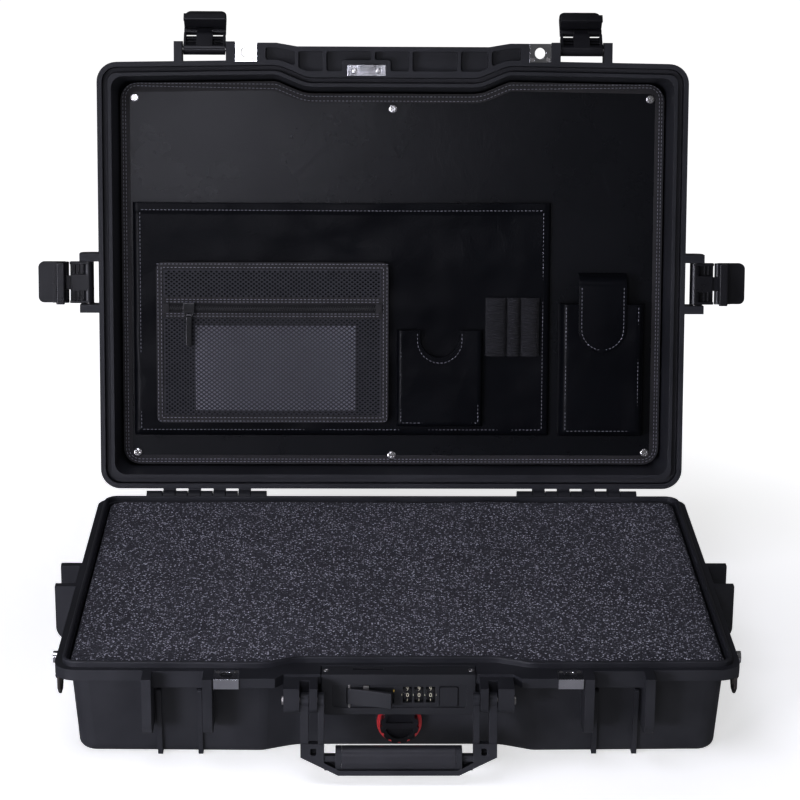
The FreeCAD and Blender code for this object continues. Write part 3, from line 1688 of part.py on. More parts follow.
def mesh_pocket_net():
    """One flat net with its holes, in each of the two windows."""
    pieces = []
    for (low, high), rows in zip(mesh_spans(), (net_upper_rows, net_lower_rows)):
        left = mesh_left + mesh_border + soft_gap
        right = mesh_right - mesh_border - soft_gap
        outline = rectangle(left, right, low + soft_gap, high - soft_gap)
        z = mesh_face + (pocket_cloth - net_thickness) / 2
        column = (right - left - net_strand) / net_columns
        row = (high - low - 2 * soft_gap - net_strand) / rows
        wires = [rounded_wire(outline, [net_round] * len(outline), level(z))]
        for index in range(net_columns * rows):
            x = left + net_strand + (index % net_columns) * column
            y = low + soft_gap + net_strand + (index // net_columns) * row
            hole = rectangle(x, x + column - net_strand, y, y + row - net_strand)
            wires.append(rounded_wire(hole, [net_strand] * len(hole), level(z)))
        face = Part.Face(wires, "Part::FaceMakerBullseye")
        pieces.append(face.extrude(axis_z * net_thickness))
    return opened(Part.makeCompound(pieces))


zip_y = (mesh_band_start + mesh_band_end) / 2
tape_low = mesh_face - soft_gap - net_thickness
slider_top = tape_low - slider_gap


def zipper_tape():
    half = (mesh_band_end - mesh_band_start) / 2 - zip_tape_margin
    left = mesh_left + mesh_border
    right = mesh_right - mesh_border
    tape = block(left, right, zip_y - half, zip_y + half, tape_low, tape_low + net_thickness)
    ridge_half = zip_ridge / 2
    ridge_low = tape_low - zip_ridge_height
    ridge = block(left, right, zip_y - ridge_half, zip_y + ridge_half, ridge_low, tape_low)
    return opened(tape.fuse(ridge).removeSplitter())


pull_pin_y = zip_y + slider_width / 2 + pull_eye_radius + slider_gap
pull_pin_z = slider_top - slider_height / 2


def zipper_slider():
    half_length = slider_length / 2
    low = slider_top - slider_height
    body = block(
        slider_x - half_length,
        slider_x + half_length,
        zip_y - slider_width / 2,
        zip_y + slider_width / 2,
        low,
        slider_top,
    )
    groove_half = zip_ridge / 2 + slider_gap
    groove = block(
        slider_x - half_length - overrun,
        slider_x + half_length + overrun,
        zip_y - groove_half,
        zip_y + groove_half,
        slider_top - zip_ridge_height,
        slider_top + overrun,
    )
    ears = []
    ear_low = pull_width / 2 + slider_gap
    ear_back = pull_pin_y + pull_eye_radius
    for low_x, high_x in ((ear_low, ear_low + pull_thickness), (-ear_low - pull_thickness, -ear_low)):
        start = zip_y + slider_width / 2 - wall_bite
        ears.append(block(slider_x + low_x, slider_x + high_x, start, ear_back, low, slider_top))
    reach = ear_low + pull_thickness
    left = vector(slider_x - reach, pull_pin_y, pull_pin_z)
    pin = rod(slider_pin_radius, left, vector(slider_x + reach, pull_pin_y, pull_pin_z))
    return opened(join([body] + ears + [pin]).cut(groove))


def zipper_pull():
    half = pull_width / 2
    low = vector(slider_x - half, pull_pin_y, pull_pin_z)
    high = vector(slider_x + half, pull_pin_y, pull_pin_z)
    eye = rod(pull_eye_radius, low, high)
    start = pull_pin_y
    outline = rectangle(slider_x - half, slider_x + half, start, start + pull_length)
    thick_low = pull_pin_z - pull_thickness / 2
    radii = [0, 0, half / 2, half / 2]
    plate = flat_slab(outline, radii, thick_low, thick_low + pull_thickness)
    bore = rod(slider_pin_radius + running_clearance, low - axis_x * overrun, high + axis_x * overrun)
    return opened(join([eye, plate]).cut(bore))


def card_pocket():
    outline = rectangle(card_left, card_right, card_mouth, card_end)
    radii = [0, 0, document_round, document_round]
    tray = pocket_tray(outline, radii, pocket_cloth, document_face, card_gap)
    middle = (card_left + card_right) / 2
    depth = card_mouth + card_notch_depth
    half = card_notch_half
    outline = rectangle(middle - half, middle + half, card_mouth - overrun, depth)
    low = document_face - soft_gap - card_gap - pocket_cloth - overrun
    notch = flat_slab(outline, [0, 0, card_notch_round, card_notch_round], low, document_face - soft_gap)
    return opened(tray.cut(notch))


def pen_loops():
    """Row of cloth loops: half tubes with a flat of cloth between and beside them."""
    top = document_face - soft_gap
    parts = []
    cuts = []
    for index in range(pen_loops_count):
        x = pen_left + pen_pitch / 2 + index * pen_pitch
        start = vector(x, pen_start, top)
        parts.append(rod(pen_radius, start, vector(x, pen_end, top)))
        low = vector(x, pen_start - overrun, top)
        cuts.append(rod(pen_radius - pen_cloth, low, vector(x, pen_end + overrun, top)))
    right = pen_left + pen_pitch * pen_loops_count
    parts.append(block(pen_left, right, pen_start, pen_end, top - pen_cloth, top))
    behind = rectangle(pen_left - overrun, right + overrun, pen_start - overrun, pen_end + overrun)
    cuts.append(flat_slab(behind, 0, top, lid_roof))
    return opened(join(parts).cut(cuts))


def phone_pocket():
    outline = rectangle(phone_left, phone_right, phone_mouth, phone_end)
    radii = [0, 0, phone_round, phone_round]
    return opened(pocket_tray(outline, radii, phone_cloth, organizer_face, phone_gap))


phone_face = organizer_face - soft_gap - phone_gap - phone_cloth
flap_face = phone_face - soft_gap
flap_hinge_z = organizer_face - soft_gap


def phone_flap():
    bend = phone_mouth - flap_shoulder
    outer = flap_face - flap_thickness
    profile = [
        (flap_root, flap_hinge_z),
        (flap_root, flap_hinge_z - flap_thickness),
        (bend - flap_thickness / 2, outer),
        (flap_end, outer),
        (flap_end, flap_face),
        (bend, flap_face),
    ]
    strip = side_slab(profile, 0, flap_left, flap_right)
    plan = rectangle(flap_left, flap_right, flap_root, flap_end)
    radii = [0, 0, flap_end_round, flap_end_round]
    strip = strip.common(flat_slab(plan, radii, outer - overrun, organizer_face))
    root_z = flap_hinge_z - flap_thickness / 2
    root = rod(flap_thickness / 2, vector(flap_left, flap_root, root_z), vector(flap_right, flap_root, root_z))
    return opened(join([strip, root]))


def compound_of_pins(piece):
    return Part.makeCompound([piece, mirrored(piece)])


nodes = {
    "base_shell": base_shell(),
    "base_foam_pad": base_foam_pad(),
    "base_foam_top": base_foam_top(),
    "hinge_pins": compound_of_pins(hinge_pin(0, 0)),
    "base_hasp_plates": base_hasp_plates(),
    "base_hasp_rivets": rivets(parting_height, 1),
    "lock_housing": lock_housing(),
    "lock_screws": lock_screws(),
    "lock_lever": lock_lever(),
    "lock_lever_pin": lock_lever_pin(),
    "lock_hook": lock_hook(),
    "lock_dial_shaft": dial_shaft(0),
    "lock_button": lock_button(),
    "lock_button_spring": lock_button_spring(),
    "purge_valve_body": purge_valve_body(),
    "purge_valve_ring": purge_valve_ring(),
    "purge_valve_knob": purge_valve_knob(),
    "purge_valve_nut": purge_valve_nut(),
    "handle_frame": handle_frame(),
    "handle_grip": handle_grip(),
    "handle_pins": handle_pins(),
    "strap_studs": strap_studs(),
    "strap_ring_right": strap_ring(),
    "strap_ring_left": mirrored(strap_ring()),
    "lid_shell": lid_shell(),
    "lid_seal": lid_seal(),
    "lid_hasp_plates": lid_hasp_plates(),
    "lid_hasp_rivets": opened(rivets(parting_height, -1)),
    "lock_keeper": lock_keeper(),
    "keeper_screws": keeper_screws(),
    "organizer_panel": organizer_panel(),
    "organizer_binding": organizer_binding(),
    "organizer_screws": organizer_screws(),
    "document_pocket": document_pocket(),
    "mesh_pocket_frame": mesh_pocket_frame(),
    "mesh_pocket_net": mesh_pocket_net(),
    "zipper_tape": zipper_tape(),
    "zipper_slider": zipper_slider(),
    "zipper_pull": zipper_pull(),
    "card_pocket": card_pocket(),
    "pen_loops": pen_loops(),
    "phone_pocket": phone_pocket(),
    "phone_flap": phone_flap(),
}
for number, centre in enumerate(dial_centres()):
    nodes["lock_dial_" + str(number + 1)] = lock_dial(centre)
pivot_pins = []
for station in latch_stations:
    name = station[0]
    nodes["latch_arm_" + name] = at_lid_pin(latch_arm(), station)
    nodes["latch_lever_" + name] = at_lid_pin(latch_lever(), station)
    nodes["latch_lever_pin_" + name] = at_lid_pin(lever_pin(), station)
    pivot_pins.append(at_lid_pin(latch_pin(0, latch_pin_radius), station))
nodes["latch_pivot_pins"] = Part.makeCompound(pivot_pins)

os.makedirs("parts", exist_ok=True)
for name, shape in nodes.items():
    shape.exportStep("parts/" + name + ".step")
    print(name, "valid" if shape.isValid() else "NOT VALID", len(shape.Solids), "solids")
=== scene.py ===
import json
import math

import bpy
import numpy as np
from mathutils import Matrix, Vector, noise


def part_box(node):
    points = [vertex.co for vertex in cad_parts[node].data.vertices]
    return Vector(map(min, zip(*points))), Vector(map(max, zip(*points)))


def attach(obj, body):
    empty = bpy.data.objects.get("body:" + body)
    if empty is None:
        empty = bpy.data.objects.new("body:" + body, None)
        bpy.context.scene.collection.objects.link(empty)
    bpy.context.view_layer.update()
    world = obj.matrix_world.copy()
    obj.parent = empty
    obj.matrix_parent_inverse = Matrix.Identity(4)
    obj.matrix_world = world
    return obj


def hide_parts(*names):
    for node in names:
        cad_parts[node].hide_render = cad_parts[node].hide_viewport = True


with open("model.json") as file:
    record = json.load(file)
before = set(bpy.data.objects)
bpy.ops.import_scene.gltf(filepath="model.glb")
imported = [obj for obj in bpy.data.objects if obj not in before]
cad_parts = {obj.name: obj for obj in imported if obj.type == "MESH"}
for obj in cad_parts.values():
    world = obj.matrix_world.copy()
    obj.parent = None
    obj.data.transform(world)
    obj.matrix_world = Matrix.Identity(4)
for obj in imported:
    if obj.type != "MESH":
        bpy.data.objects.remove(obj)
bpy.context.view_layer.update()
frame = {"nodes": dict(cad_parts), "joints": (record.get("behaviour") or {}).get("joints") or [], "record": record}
nodes = frame["nodes"]
mm = 0.001
print("frame loaded:", len(nodes), "nodes")


# Nodes and links of one material or group, laid out from left to right
class NodeBoard:
    def __init__(self, tree):
        self.tree = tree
        self.column = 0

    def add(self, kind, settings=None, **sockets):
        node = self.tree.nodes.new(kind)
        self.column += 1
        node.location = (self.column * 180, -(self.column % 4) * 160)
        for name, value in (settings or {}).items():
            setattr(node, name, value)
        for name, value in sockets.items():
            self.plug(node, name.replace("_", " "), value)
        return node

    def plug(self, node, name, value):
        socket = node.inputs[name]
        if isinstance(value, bpy.types.NodeSocket):
            self.tree.links.new(value, socket)
        else:
            socket.default_value = value

    def mathNode(self, operation, first, second=None, clamp=False):
        node = self.add("ShaderNodeMath", {"operation": operation, "use_clamp": clamp})
        self.plug(node, 0, first)
        if second is not None:
            self.plug(node, 1, second)
        return node.outputs[0]

    def ramp(self, value, *stops):
        node = self.add("ShaderNodeValToRGB")
        self.plug(node, "Fac", value)
        elements = node.color_ramp.elements
        while len(elements) < len(stops):
            elements.new(0.5)
        for element, (position, shade) in zip(elements, stops):
            element.position = position
            element.color = shade if len(shade) == 4 else (*shade, 1)
        return node.outputs["Color"]

    def mixColour(self, factor, first, second, blend="MIX"):
        node = self.add("ShaderNodeMix", {"data_type": "RGBA", "blend_type": blend})
        self.plug(node, 0, factor)
        self.plug(node, 6, first)
        self.plug(node, 7, second)
        return node.outputs[2]


def grey(level):
    return (level, level, level)


def newGroup(name, inputs, outputs):
    group = bpy.data.node_groups.new(name, "ShaderNodeTree")
    for label, kind, value in inputs:
        socket = group.interface.new_socket(name=label, in_out="INPUT", socket_type=kind)
        if value is not None:
            socket.default_value = value
    for label, kind in outputs:
        group.interface.new_socket(name=label, in_out="OUTPUT", socket_type=kind)
    board = NodeBoard(group)
    start = board.add("NodeGroupInput")
    end = board.add("NodeGroupOutput")
    return group, board, start, end


floatSocket, vectorSocket = "NodeSocketFloat", "NodeSocketVector"


# Shared effects. Each group puts out heights, masks and values only.
def buildGrain():
    group, board, start, end = newGroup(
        "mouldedGrain",
        [("Vector", vectorSocket, None), ("Scale", floatSocket, 900.0)],
        [("Height", floatSocket), ("Patches", floatSocket)],
    )
    vector = start.outputs["Vector"]
    fine = board.add("ShaderNodeTexNoise", Vector=vector, Scale=start.outputs["Scale"], Detail=3.0)
    cells = board.add("ShaderNodeTexVoronoi", Vector=vector, Scale=start.outputs["Scale"])
    pits = board.mathNode("MULTIPLY", cells.outputs["Distance"], 0.7)
    height = board.mathNode("ADD", fine.outputs["Fac"], pits)
    wide = board.add("ShaderNodeTexNoise", Vector=vector, Scale=22.0, Detail=4.0, Roughness=0.6)
    board.plug(end, "Height", height)
    board.plug(end, "Patches", wide.outputs["Fac"])
    return group


def buildLeather():
    group, board, start, end = newGroup(
        "leatherGrain",
        [("Vector", vectorSocket, None), ("Scale", floatSocket, 700.0)],
        [("Height", floatSocket), ("Tone", floatSocket)],
    )
    vector = start.outputs["Vector"]
    scale = start.outputs["Scale"]
    cells = board.add("ShaderNodeTexVoronoi", {"feature": "SMOOTH_F1"}, Vector=vector, Scale=scale)
    fine = board.add("ShaderNodeTexNoise", Vector=vector, Scale=1500.0, Detail=2.0)
    creases = board.add(
        "ShaderNodeTexNoise", Vector=vector, Scale=45.0, Detail=6.0, Roughness=0.65, Distortion=0.8
    )
    sharp = board.mathNode("ABSOLUTE", board.mathNode("SUBTRACT", creases.outputs["Fac"], 0.5))
    crease = board.mathNode("MULTIPLY", sharp, 3.0, clamp=True)
    grainPart = board.mathNode("MULTIPLY", cells.outputs["Distance"], 0.5)
    finePart = board.mathNode("MULTIPLY", fine.outputs["Fac"], 0.25)
    height = board.mathNode("ADD", board.mathNode("ADD", grainPart, finePart), crease)
    wide = board.add("ShaderNodeTexNoise", Vector=vector, Scale=12.0, Detail=5.0, Roughness=0.6)
    board.plug(end, "Height", height)
    board.plug(end, "Tone", wide.outputs["Fac"])
    return group


def buildWeave():
    group, board, start, end = newGroup(
        "webbingWeave",
        [("Vector", vectorSocket, None), ("Scale", floatSocket, 1.0)],
        [("Height", floatSocket), ("Tone", floatSocket)],
    )
    split = board.add("ShaderNodeSeparateXYZ", Vector=start.outputs["Vector"])
    turns = board.mathNode("MULTIPLY", start.outputs["Scale"], 2 * math.pi)
    across = board.mathNode("SINE", board.mathNode("MULTIPLY", split.outputs["X"], turns))
    along = board.mathNode("SINE", board.mathNode("MULTIPLY", split.outputs["Y"], turns))
    checks = board.mathNode("MULTIPLY", across, along)
    height = board.mathNode("MULTIPLY", board.mathNode("ADD", checks, 1.0), 0.5)
    fuzz = board.add("ShaderNodeTexNoise", Vector=start.outputs["Vector"], Scale=1400.0, Detail=3.0)
    wide = board.add("ShaderNodeTexNoise", Vector=start.outputs["Vector"], Scale=90.0, Detail=3.0)
    board.plug(end, "Height", board.mathNode("ADD", height, fuzz.outputs["Fac"]))
    board.plug(end, "Tone", wide.outputs["Fac"])
    return group


def buildSpecks():
    group, board, start, end = newGroup(
        "foamSpecks",
        [("Vector", vectorSocket, None), ("Scale", floatSocket, 620.0), ("Share", floatSocket, 0.2)],
        [(name, floatSocket) for name in ("Specks", "Height", "Tone", "Fine")],
    )
    vector = start.outputs["Vector"]
    cells = board.add("ShaderNodeTexVoronoi", Vector=vector, Scale=start.outputs["Scale"])
    pick = board.add("ShaderNodeSeparateColor", Color=cells.outputs["Color"])
    chosen = board.mathNode("LESS_THAN", pick.outputs[0], start.outputs["Share"])
    near = board.mathNode("LESS_THAN", cells.outputs["Distance"], 0.42)
    bright = board.mathNode("MULTIPLY", pick.outputs[1], pick.outputs[1])
    specks = board.mathNode("MULTIPLY", board.mathNode("MULTIPLY", chosen, near), bright)
    fine = board.add("ShaderNodeTexNoise", Vector=vector, Scale=1100.0, Detail=3.0)
    wide = board.add("ShaderNodeTexNoise", Vector=vector, Scale=16.0, Detail=5.0, Roughness=0.65)
    board.plug(end, "Specks", specks)
    board.plug(end, "Fine", fine.outputs["Fac"])
    pores = board.mathNode("SUBTRACT", fine.outputs["Fac"], cells.outputs["Distance"])
    board.plug(end, "Height", pores)
    board.plug(end, "Tone", wide.outputs["Fac"])
    return group


grainGroup = buildGrain()
leatherGroup = buildLeather()
weaveGroup = buildWeave()
specksGroup = buildSpecks()


def newMaterial(name, roughness, metallic=0.0, sheen=0.0, specular=0.5):
    material = bpy.data.materials.new(name)
    material.use_nodes = True
    board = NodeBoard(material.node_tree)
    shader = material.node_tree.nodes["Principled BSDF"]
    shader.inputs["Roughness"].default_value = roughness
    shader.inputs["Metallic"].default_value = metallic
    shader.inputs["Sheen Weight"].default_value = sheen
    shader.inputs["Specular IOR Level"].default_value = specular
    place = board.add("ShaderNodeTexCoord").outputs["Object"]
    return material, board, shader, place


def useGroup(board, group, **sockets):
    return board.add("ShaderNodeGroup", {"node_tree": group}, **sockets)


def bumpFrom(board, shader, height, strength, distance, edge=0):
    bump = board.add("ShaderNodeBump", Height=height, Strength=strength, Distance=distance)
    if edge:
        softened = board.add("ShaderNodeBevel", {"samples": 4}, Radius=edge)
        board.plug(bump, "Normal", softened.outputs["Normal"])
    board.plug(shader, "Normal", bump.outputs["Normal"])


# Lays a pattern's plane in the plane of the open lid
def turnedIntoLid(board, place):
    turn = board.add("ShaderNodeMapping", {"vector_type": "POINT"})
    board.plug(turn, "Vector", place)
    turn.inputs["Rotation"].default_value = (-lidTurn, 0, 0)
    return turn.outputs["Vector"]


# How deep each kind of surface is and how far its edges look worn, in metres; bumps are strengths
reliefLook = {
    "plastic": 0.00012, "plasticEdge": 0.0007, "metal": 0.00005, "metalEdge": 0.0005, "metalBump": 0.12,
    "leather": 0.00025, "webbing": 0.0003, "foam": 0.0007, "foamBump": 0.9, "paper": 0.0004,
    "paperBump": 0.15,
}


# A finish's tone or roughness, spread over the broad patches of its pattern
def patchy(board, value, low, high, span=(0.3, 0.7)):
    return board.ramp(value, (span[0], low), (span[1], high))


def plasticFinish(name, dark, light, roughness, roughSpan=0.05, scale=900.0, strength=0.1, specular=0.5):
    material, board, shader, place = newMaterial(name, roughness, specular=specular)
    grain = useGroup(board, grainGroup, Vector=place, Scale=scale)
    patches = grain.outputs["Patches"]
    board.plug(shader, "Base Color", patchy(board, patches, dark, light))
    low, high = grey(roughness - roughSpan), grey(roughness + roughSpan)
    board.plug(shader, "Roughness", patchy(board, patches, low, high))
    height = grain.outputs["Height"]
    bumpFrom(board, shader, height, strength, reliefLook["plastic"], edge=reliefLook["plasticEdge"])
    return material


def leatherFinish(name, dark, light, roughness, roughSpan, scale, strength, specular):
    material, board, shader, place = newMaterial(name, roughness, specular=specular)
    leather = useGroup(board, leatherGroup, Vector=place, Scale=scale)
    tone = leather.outputs["Tone"]
    board.plug(shader, "Base Color", patchy(board, tone, dark, light))
    low, high = grey(roughness - roughSpan), grey(roughness + roughSpan)
    board.plug(shader, "Roughness", patchy(board, tone, low, high, (0.2, 0.8)))
    bumpFrom(board, shader, leather.outputs["Height"], strength, reliefLook["leather"])
    return material


def webbingFinish(name, dark, light, scale, strength):
    material, board, shader, place = newMaterial(name, roughness=0.85, sheen=0.05, specular=0.12)
    weave = useGroup(board, weaveGroup, Vector=turnedIntoLid(board, place), Scale=scale)
    # Half of the colour follows the weave's height: painted shade in its hollows and painted light on its raised
    # threads; the other half is tone that varies at random
    tone = board.mixColour(0.5, weave.outputs["Tone"], weave.outputs["Height"])
    board.plug(shader, "Base Color", patchy(board, tone, dark, light, (0.3, 0.8)))
    bumpFrom(board, shader, weave.outputs["Height"], strength, reliefLook["webbing"])
    return material


def metalFinish(name, dark, light, roughness, scale=1500.0):
    material, board, shader, place = newMaterial(name, roughness, metallic=1.0)
    grain = useGroup(board, grainGroup, Vector=place, Scale=scale)
    patches = grain.outputs["Patches"]
    board.plug(shader, "Base Color", patchy(board, patches, dark, light))
    low, high = grey(roughness * 0.7), grey(roughness * 1.4)
    board.plug(shader, "Roughness", patchy(board, patches, low, high))
    height = grain.outputs["Height"]
    strength, deep, edge = (reliefLook[key] for key in ("metalBump", "metal", "metalEdge"))
    bumpFrom(board, shader, height, strength, deep, edge)
    return material


def foamFinish(name, dark, light, speck, share):
    material, board, shader, place = newMaterial(name, roughness=0.95, specular=0.15)
    foam = useGroup(board, specksGroup, Vector=place, Share=share)
    ground = patchy(board, foam.outputs["Tone"], dark, light)
    grit = patchy(board, foam.outputs["Fine"], grey(0.35), grey(1.0), (0.38, 0.62))
    skin = board.mixColour(1.0, ground, grit, "MULTIPLY")
    board.plug(shader, "Base Color", board.mixColour(foam.outputs["Specks"], skin, (*speck, 1)))
    bumpFrom(board, shader, foam.outputs["Height"], reliefLook["foamBump"], reliefLook["foam"])
    return material


def paperFinish(name, dark, light, roughness, scale):
    material, board, shader, place = newMaterial(name, roughness)
    leather = useGroup(board, leatherGroup, Vector=place, Scale=scale)
    board.plug(shader, "Base Color", patchy(board, leather.outputs["Tone"], dark, light))
    bumpFrom(board, shader, leather.outputs["Height"], reliefLook["paperBump"], reliefLook["paper"])
    return material


# The open lid: shut-case places turned about the hinge line
hingeJoint = next(joint for joint in frame["joints"] if joint["name"] == "lid_hinge")
hingeSpot = Vector(hingeJoint["pos_m"])
openAngle = math.radians(hingeJoint["range_deg"][1])
openTurn = Matrix.Rotation(-openAngle, 4, "X")
shutToOpen = Matrix.Translation(hingeSpot) @ openTurn @ Matrix.Translation(-hingeSpot)


def boxIn(matrix, name):
    back = matrix.inverted()
    corners = [back @ vertex.co for vertex in nodes[name].data.vertices]
    low = Vector([min(corner[axis] for corner in corners) for axis in range(3)])
    high = Vector([max(corner[axis] for corner in corners) for axis in range(3)])
    return low, high


# Panel space in millimetres: X right, Y up and Z out of the organizer's face
panelFace = boxIn(shutToOpen, "organizer_panel")[0].z
faceUp = Matrix(((1, 0, 0, 0), (0, -1, 0, 0), (0, 0, -1, panelFace), (0, 0, 0, 1)))
panelSpace = shutToOpen @ faceUp @ Matrix.Scale(mm, 4)
worldSpace = Matrix.Scale(mm, 4)
lidTurn = (shutToOpen @ faceUp).to_euler().x


# Colours run from dark to light patches; scale counts grains in a metre
plasticLooks = {
    "shellPlastic": {
        "dark": (0.013, 0.0135, 0.0165), "light": (0.022, 0.0225, 0.027), "specular": 0.22,
        "roughness": 0.44, "roughSpan": 0.06, "scale": 1100.0, "strength": 0.35,
    },
    "latchPlastic": {
        "dark": (0.006, 0.006, 0.0075), "light": (0.010, 0.010, 0.0125), "specular": 0.3,
        "roughness": 0.30, "scale": 1300.0, "strength": 0.15,
    },
    "lockPlastic": {
        "dark": (0.016, 0.0165, 0.019), "light": (0.022, 0.0225, 0.026), "specular": 0.25,
        "roughness": 0.42, "scale": 1500.0, "strength": 0.25,
    },
    "dialPlastic": {
        "dark": (0.006, 0.006, 0.007), "light": (0.009, 0.009, 0.010),
        "roughness": 0.25, "roughSpan": 0.04, "scale": 1500.0,
    },
    "gripRubber": {
        "dark": (0.016, 0.016, 0.0195), "light": (0.023, 0.023, 0.028), "specular": 0.35,
        "roughness": 0.40, "strength": 0.15,
    },
    "sealRubber": {
        "dark": (0.022, 0.022, 0.026), "light": (0.030, 0.030, 0.034), "specular": 0.2,
        "roughness": 0.65, "strength": 0.3,
    },
    "redPlastic": {
        "dark": (0.45, 0.012, 0.020), "light": (0.60, 0.022, 0.030), "roughness": 0.38, "roughSpan": 0.04,
    },
    "blackEnamel": {
        "dark": (0.004, 0.004, 0.005), "light": (0.007, 0.007, 0.008), "specular": 0.6,
        "roughness": 0.16, "roughSpan": 0.04, "strength": 0.05,
    },
    "zipCoil": {"dark": (0.012, 0.012, 0.013), "light": (0.020, 0.020, 0.022), "roughness": 0.32},
    "creamPaint": {"dark": (0.52, 0.48, 0.36), "light": (0.66, 0.61, 0.48), "roughness": 0.5},
    "yellowPaint": {"dark": (0.60, 0.40, 0.05), "light": (0.72, 0.50, 0.08), "roughness": 0.5},
}
leatherLooks = {
    "panelLeather": {
        "dark": (0.0026, 0.0030, 0.0042), "light": (0.0036, 0.0040, 0.0056), "specular": 0.2,
        "roughness": 0.28, "roughSpan": 0.03, "scale": 1300.0, "strength": 0.3,
    },
    "pocketLeather": {
        "dark": (0.0022, 0.0024, 0.0034), "light": (0.0038, 0.0042, 0.0056), "specular": 0.06,
        "roughness": 0.32, "roughSpan": 0.03, "scale": 800.0, "strength": 0.5,
    },
}
# The dark ends of these colours also stand for painted shade in the hollows of the weave, the light ends for
# painted light on its raised threads
webbingLooks = {
    "bindingWebbing": {
        "dark": (0.008, 0.008, 0.009), "light": (0.030, 0.029, 0.031), "scale": 700.0, "strength": 0.8,
    },
    "seamThread": {
        "dark": (0.13, 0.13, 0.15), "light": (0.24, 0.24, 0.28), "scale": 2500.0, "strength": 0.4,
    },
    "netStrands": {
        "dark": (0.014, 0.014, 0.017), "light": (0.040, 0.040, 0.046), "scale": 1500.0, "strength": 0.4,
    },
    "zipTape": {
        "dark": (0.006, 0.006, 0.007), "light": (0.012, 0.012, 0.013), "scale": 900.0, "strength": 0.4,
    },
    "ribbedElastic": {
        "dark": (0.006, 0.006, 0.007), "light": (0.018, 0.018, 0.021), "scale": 1100.0, "strength": 0.5,
    },
}
metalLooks = {
    "brightSteel": {"dark": (0.62, 0.62, 0.64), "light": (0.86, 0.86, 0.87), "roughness": 0.16},
    "plainSteel": {"dark": (0.42, 0.40, 0.38), "light": (0.62, 0.60, 0.57), "roughness": 0.30},
    "darkSteel": {"dark": (0.10, 0.09, 0.085), "light": (0.22, 0.20, 0.18), "roughness": 0.35},
    "screwSteel": {"dark": (0.62, 0.61, 0.60), "light": (0.80, 0.79, 0.78), "roughness": 0.22},
}
foamLooks = {
    "foamSpeckled": {
        "dark": (0.058, 0.058, 0.070), "light": (0.082, 0.082, 0.098), "speck": (0.80, 0.80, 0.90),
        "share": 0.72,
    },
}
paperLooks = {
    "leafletPaper": {
        "dark": (0.26, 0.26, 0.30), "light": (0.36, 0.36, 0.42), "roughness": 0.6, "scale": 400.0,
    },
}
finishes = {}
for makeFinish, looks in (
    (plasticFinish, plasticLooks),
    (leatherFinish, leatherLooks),
    (webbingFinish, webbingLooks),
    (metalFinish, metalLooks),
    (foamFinish, foamLooks),
    (paperFinish, paperLooks),
):
    for name, look in looks.items():
        finishes[name] = makeFinish(name, **look)
print("materials made")


# Camera where the photograph was taken from, lamps, and a pale floor
cameraView = {
    "place": (-32.30 * mm, -1929.09 * mm),
    "aboveHinge": 770.84 * mm,
    "pitch": 17.792,
    "yaw": 1.048,
    "roll": -0.429,
    "lens": 116.47,
    "sensor": 36,
    "farthest": 20,
}


def addCamera():
    pitch, yaw, roll = (math.radians(cameraView[name]) for name in ("pitch", "yaw", "roll"))
    level = math.cos(pitch)
    forward = Vector((math.sin(yaw) * level, math.cos(yaw) * level, -math.sin(pitch)))
    right = Vector((math.cos(yaw), -math.sin(yaw), 0))
    down = forward.cross(right)
    across = math.cos(roll) * right + math.sin(roll) * down
    lower = -math.sin(roll) * right + math.cos(roll) * down
    turn = Matrix((across, -lower, -forward)).transposed().to_4x4()
    bpy.ops.object.camera_add()
    camera = bpy.context.object
    place = (*cameraView["place"], hingeSpot.z + cameraView["aboveHinge"])
    camera.matrix_world = Matrix.Translation(place) @ turn
    camera.data.lens = cameraView["lens"]
    camera.data.sensor_width = cameraView["sensor"]
    camera.data.clip_end = cameraView["farthest"]
    bpy.context.scene.camera = camera


# Soft boxes, wide open but for the one that only lights the base's front wall; spreads are in degrees
lamps = {
    "topBox": {"place": (-0.5, -0.5, 1.9), "size": (1.3, 0.9), "power": 12, "aim": (0, 0.0, 0.08)},
    "leftBox": {"place": (-1.5, -1.3, 0.5), "size": (0.6, 0.9), "power": 12, "aim": (0, -0.1, 0.1)},
    "rightBox": {"place": (1.7, -0.7, 1.0), "size": (0.5, 1.0), "power": 2.5, "aim": (0, 0.05, 0.2)},
    "sheenBox": {
        "place": (-0.32, -2.01, 0.78), "size": (0.26, 0.26), "power": 4.6, "aim": (-0.1, 0.25, 0.34),
    },
    "lowBox": {
        "place": (-1.0, -1.5, 0.26), "size": (0.4, 0.3), "power": 0.9, "aim": (-0.12, -0.18, 0.04),
        "spread": 40,
    },
}
openSpread = 180
lampColour = (0.87, 0.87, 1.0)


def addLamps():
    for name, lamp in lamps.items():
        bpy.ops.object.light_add(type="AREA", location=lamp["place"])
        light = bpy.context.object
        light.name = name
        light.data.shape = "RECTANGLE"
        light.data.size, light.data.size_y = lamp["size"]
        light.data.energy = lamp["power"]
        light.data.color = lampColour
        light.data.spread = math.radians(lamp.get("spread", openSpread))
        sight = Vector(lamp["aim"]) - light.location
        light.rotation_euler = sight.to_track_quat("-Z", "Y").to_euler()


# White to the camera and through glass, faint in reflections, and nearly dark as a light
worldLook = {"fill": 0.04, "inGloss": 0.02}


def addWorld():
    world = bpy.data.worlds.new("paleStudio")
    world.use_nodes = True
    bpy.context.scene.world = world
    board = NodeBoard(world.node_tree)
    background = world.node_tree.nodes["Background"]
    path = board.add("ShaderNodeLightPath")
    through = path.outputs["Is Transmission Ray"]
    seen = board.mathNode("ADD", path.outputs["Is Camera Ray"], through, clamp=True)
    mirrored = board.mathNode("MULTIPLY", path.outputs["Is Glossy Ray"], worldLook["inGloss"])
    shown = board.mathNode("ADD", seen, mirrored, clamp=True)
    rest = board.mathNode("MULTIPLY", shown, 1 - worldLook["fill"])
    background.inputs["Color"].default_value = (1, 1, 1, 1)
    board.plug(background, "Strength", board.mathNode("ADD", rest, worldLook["fill"]))


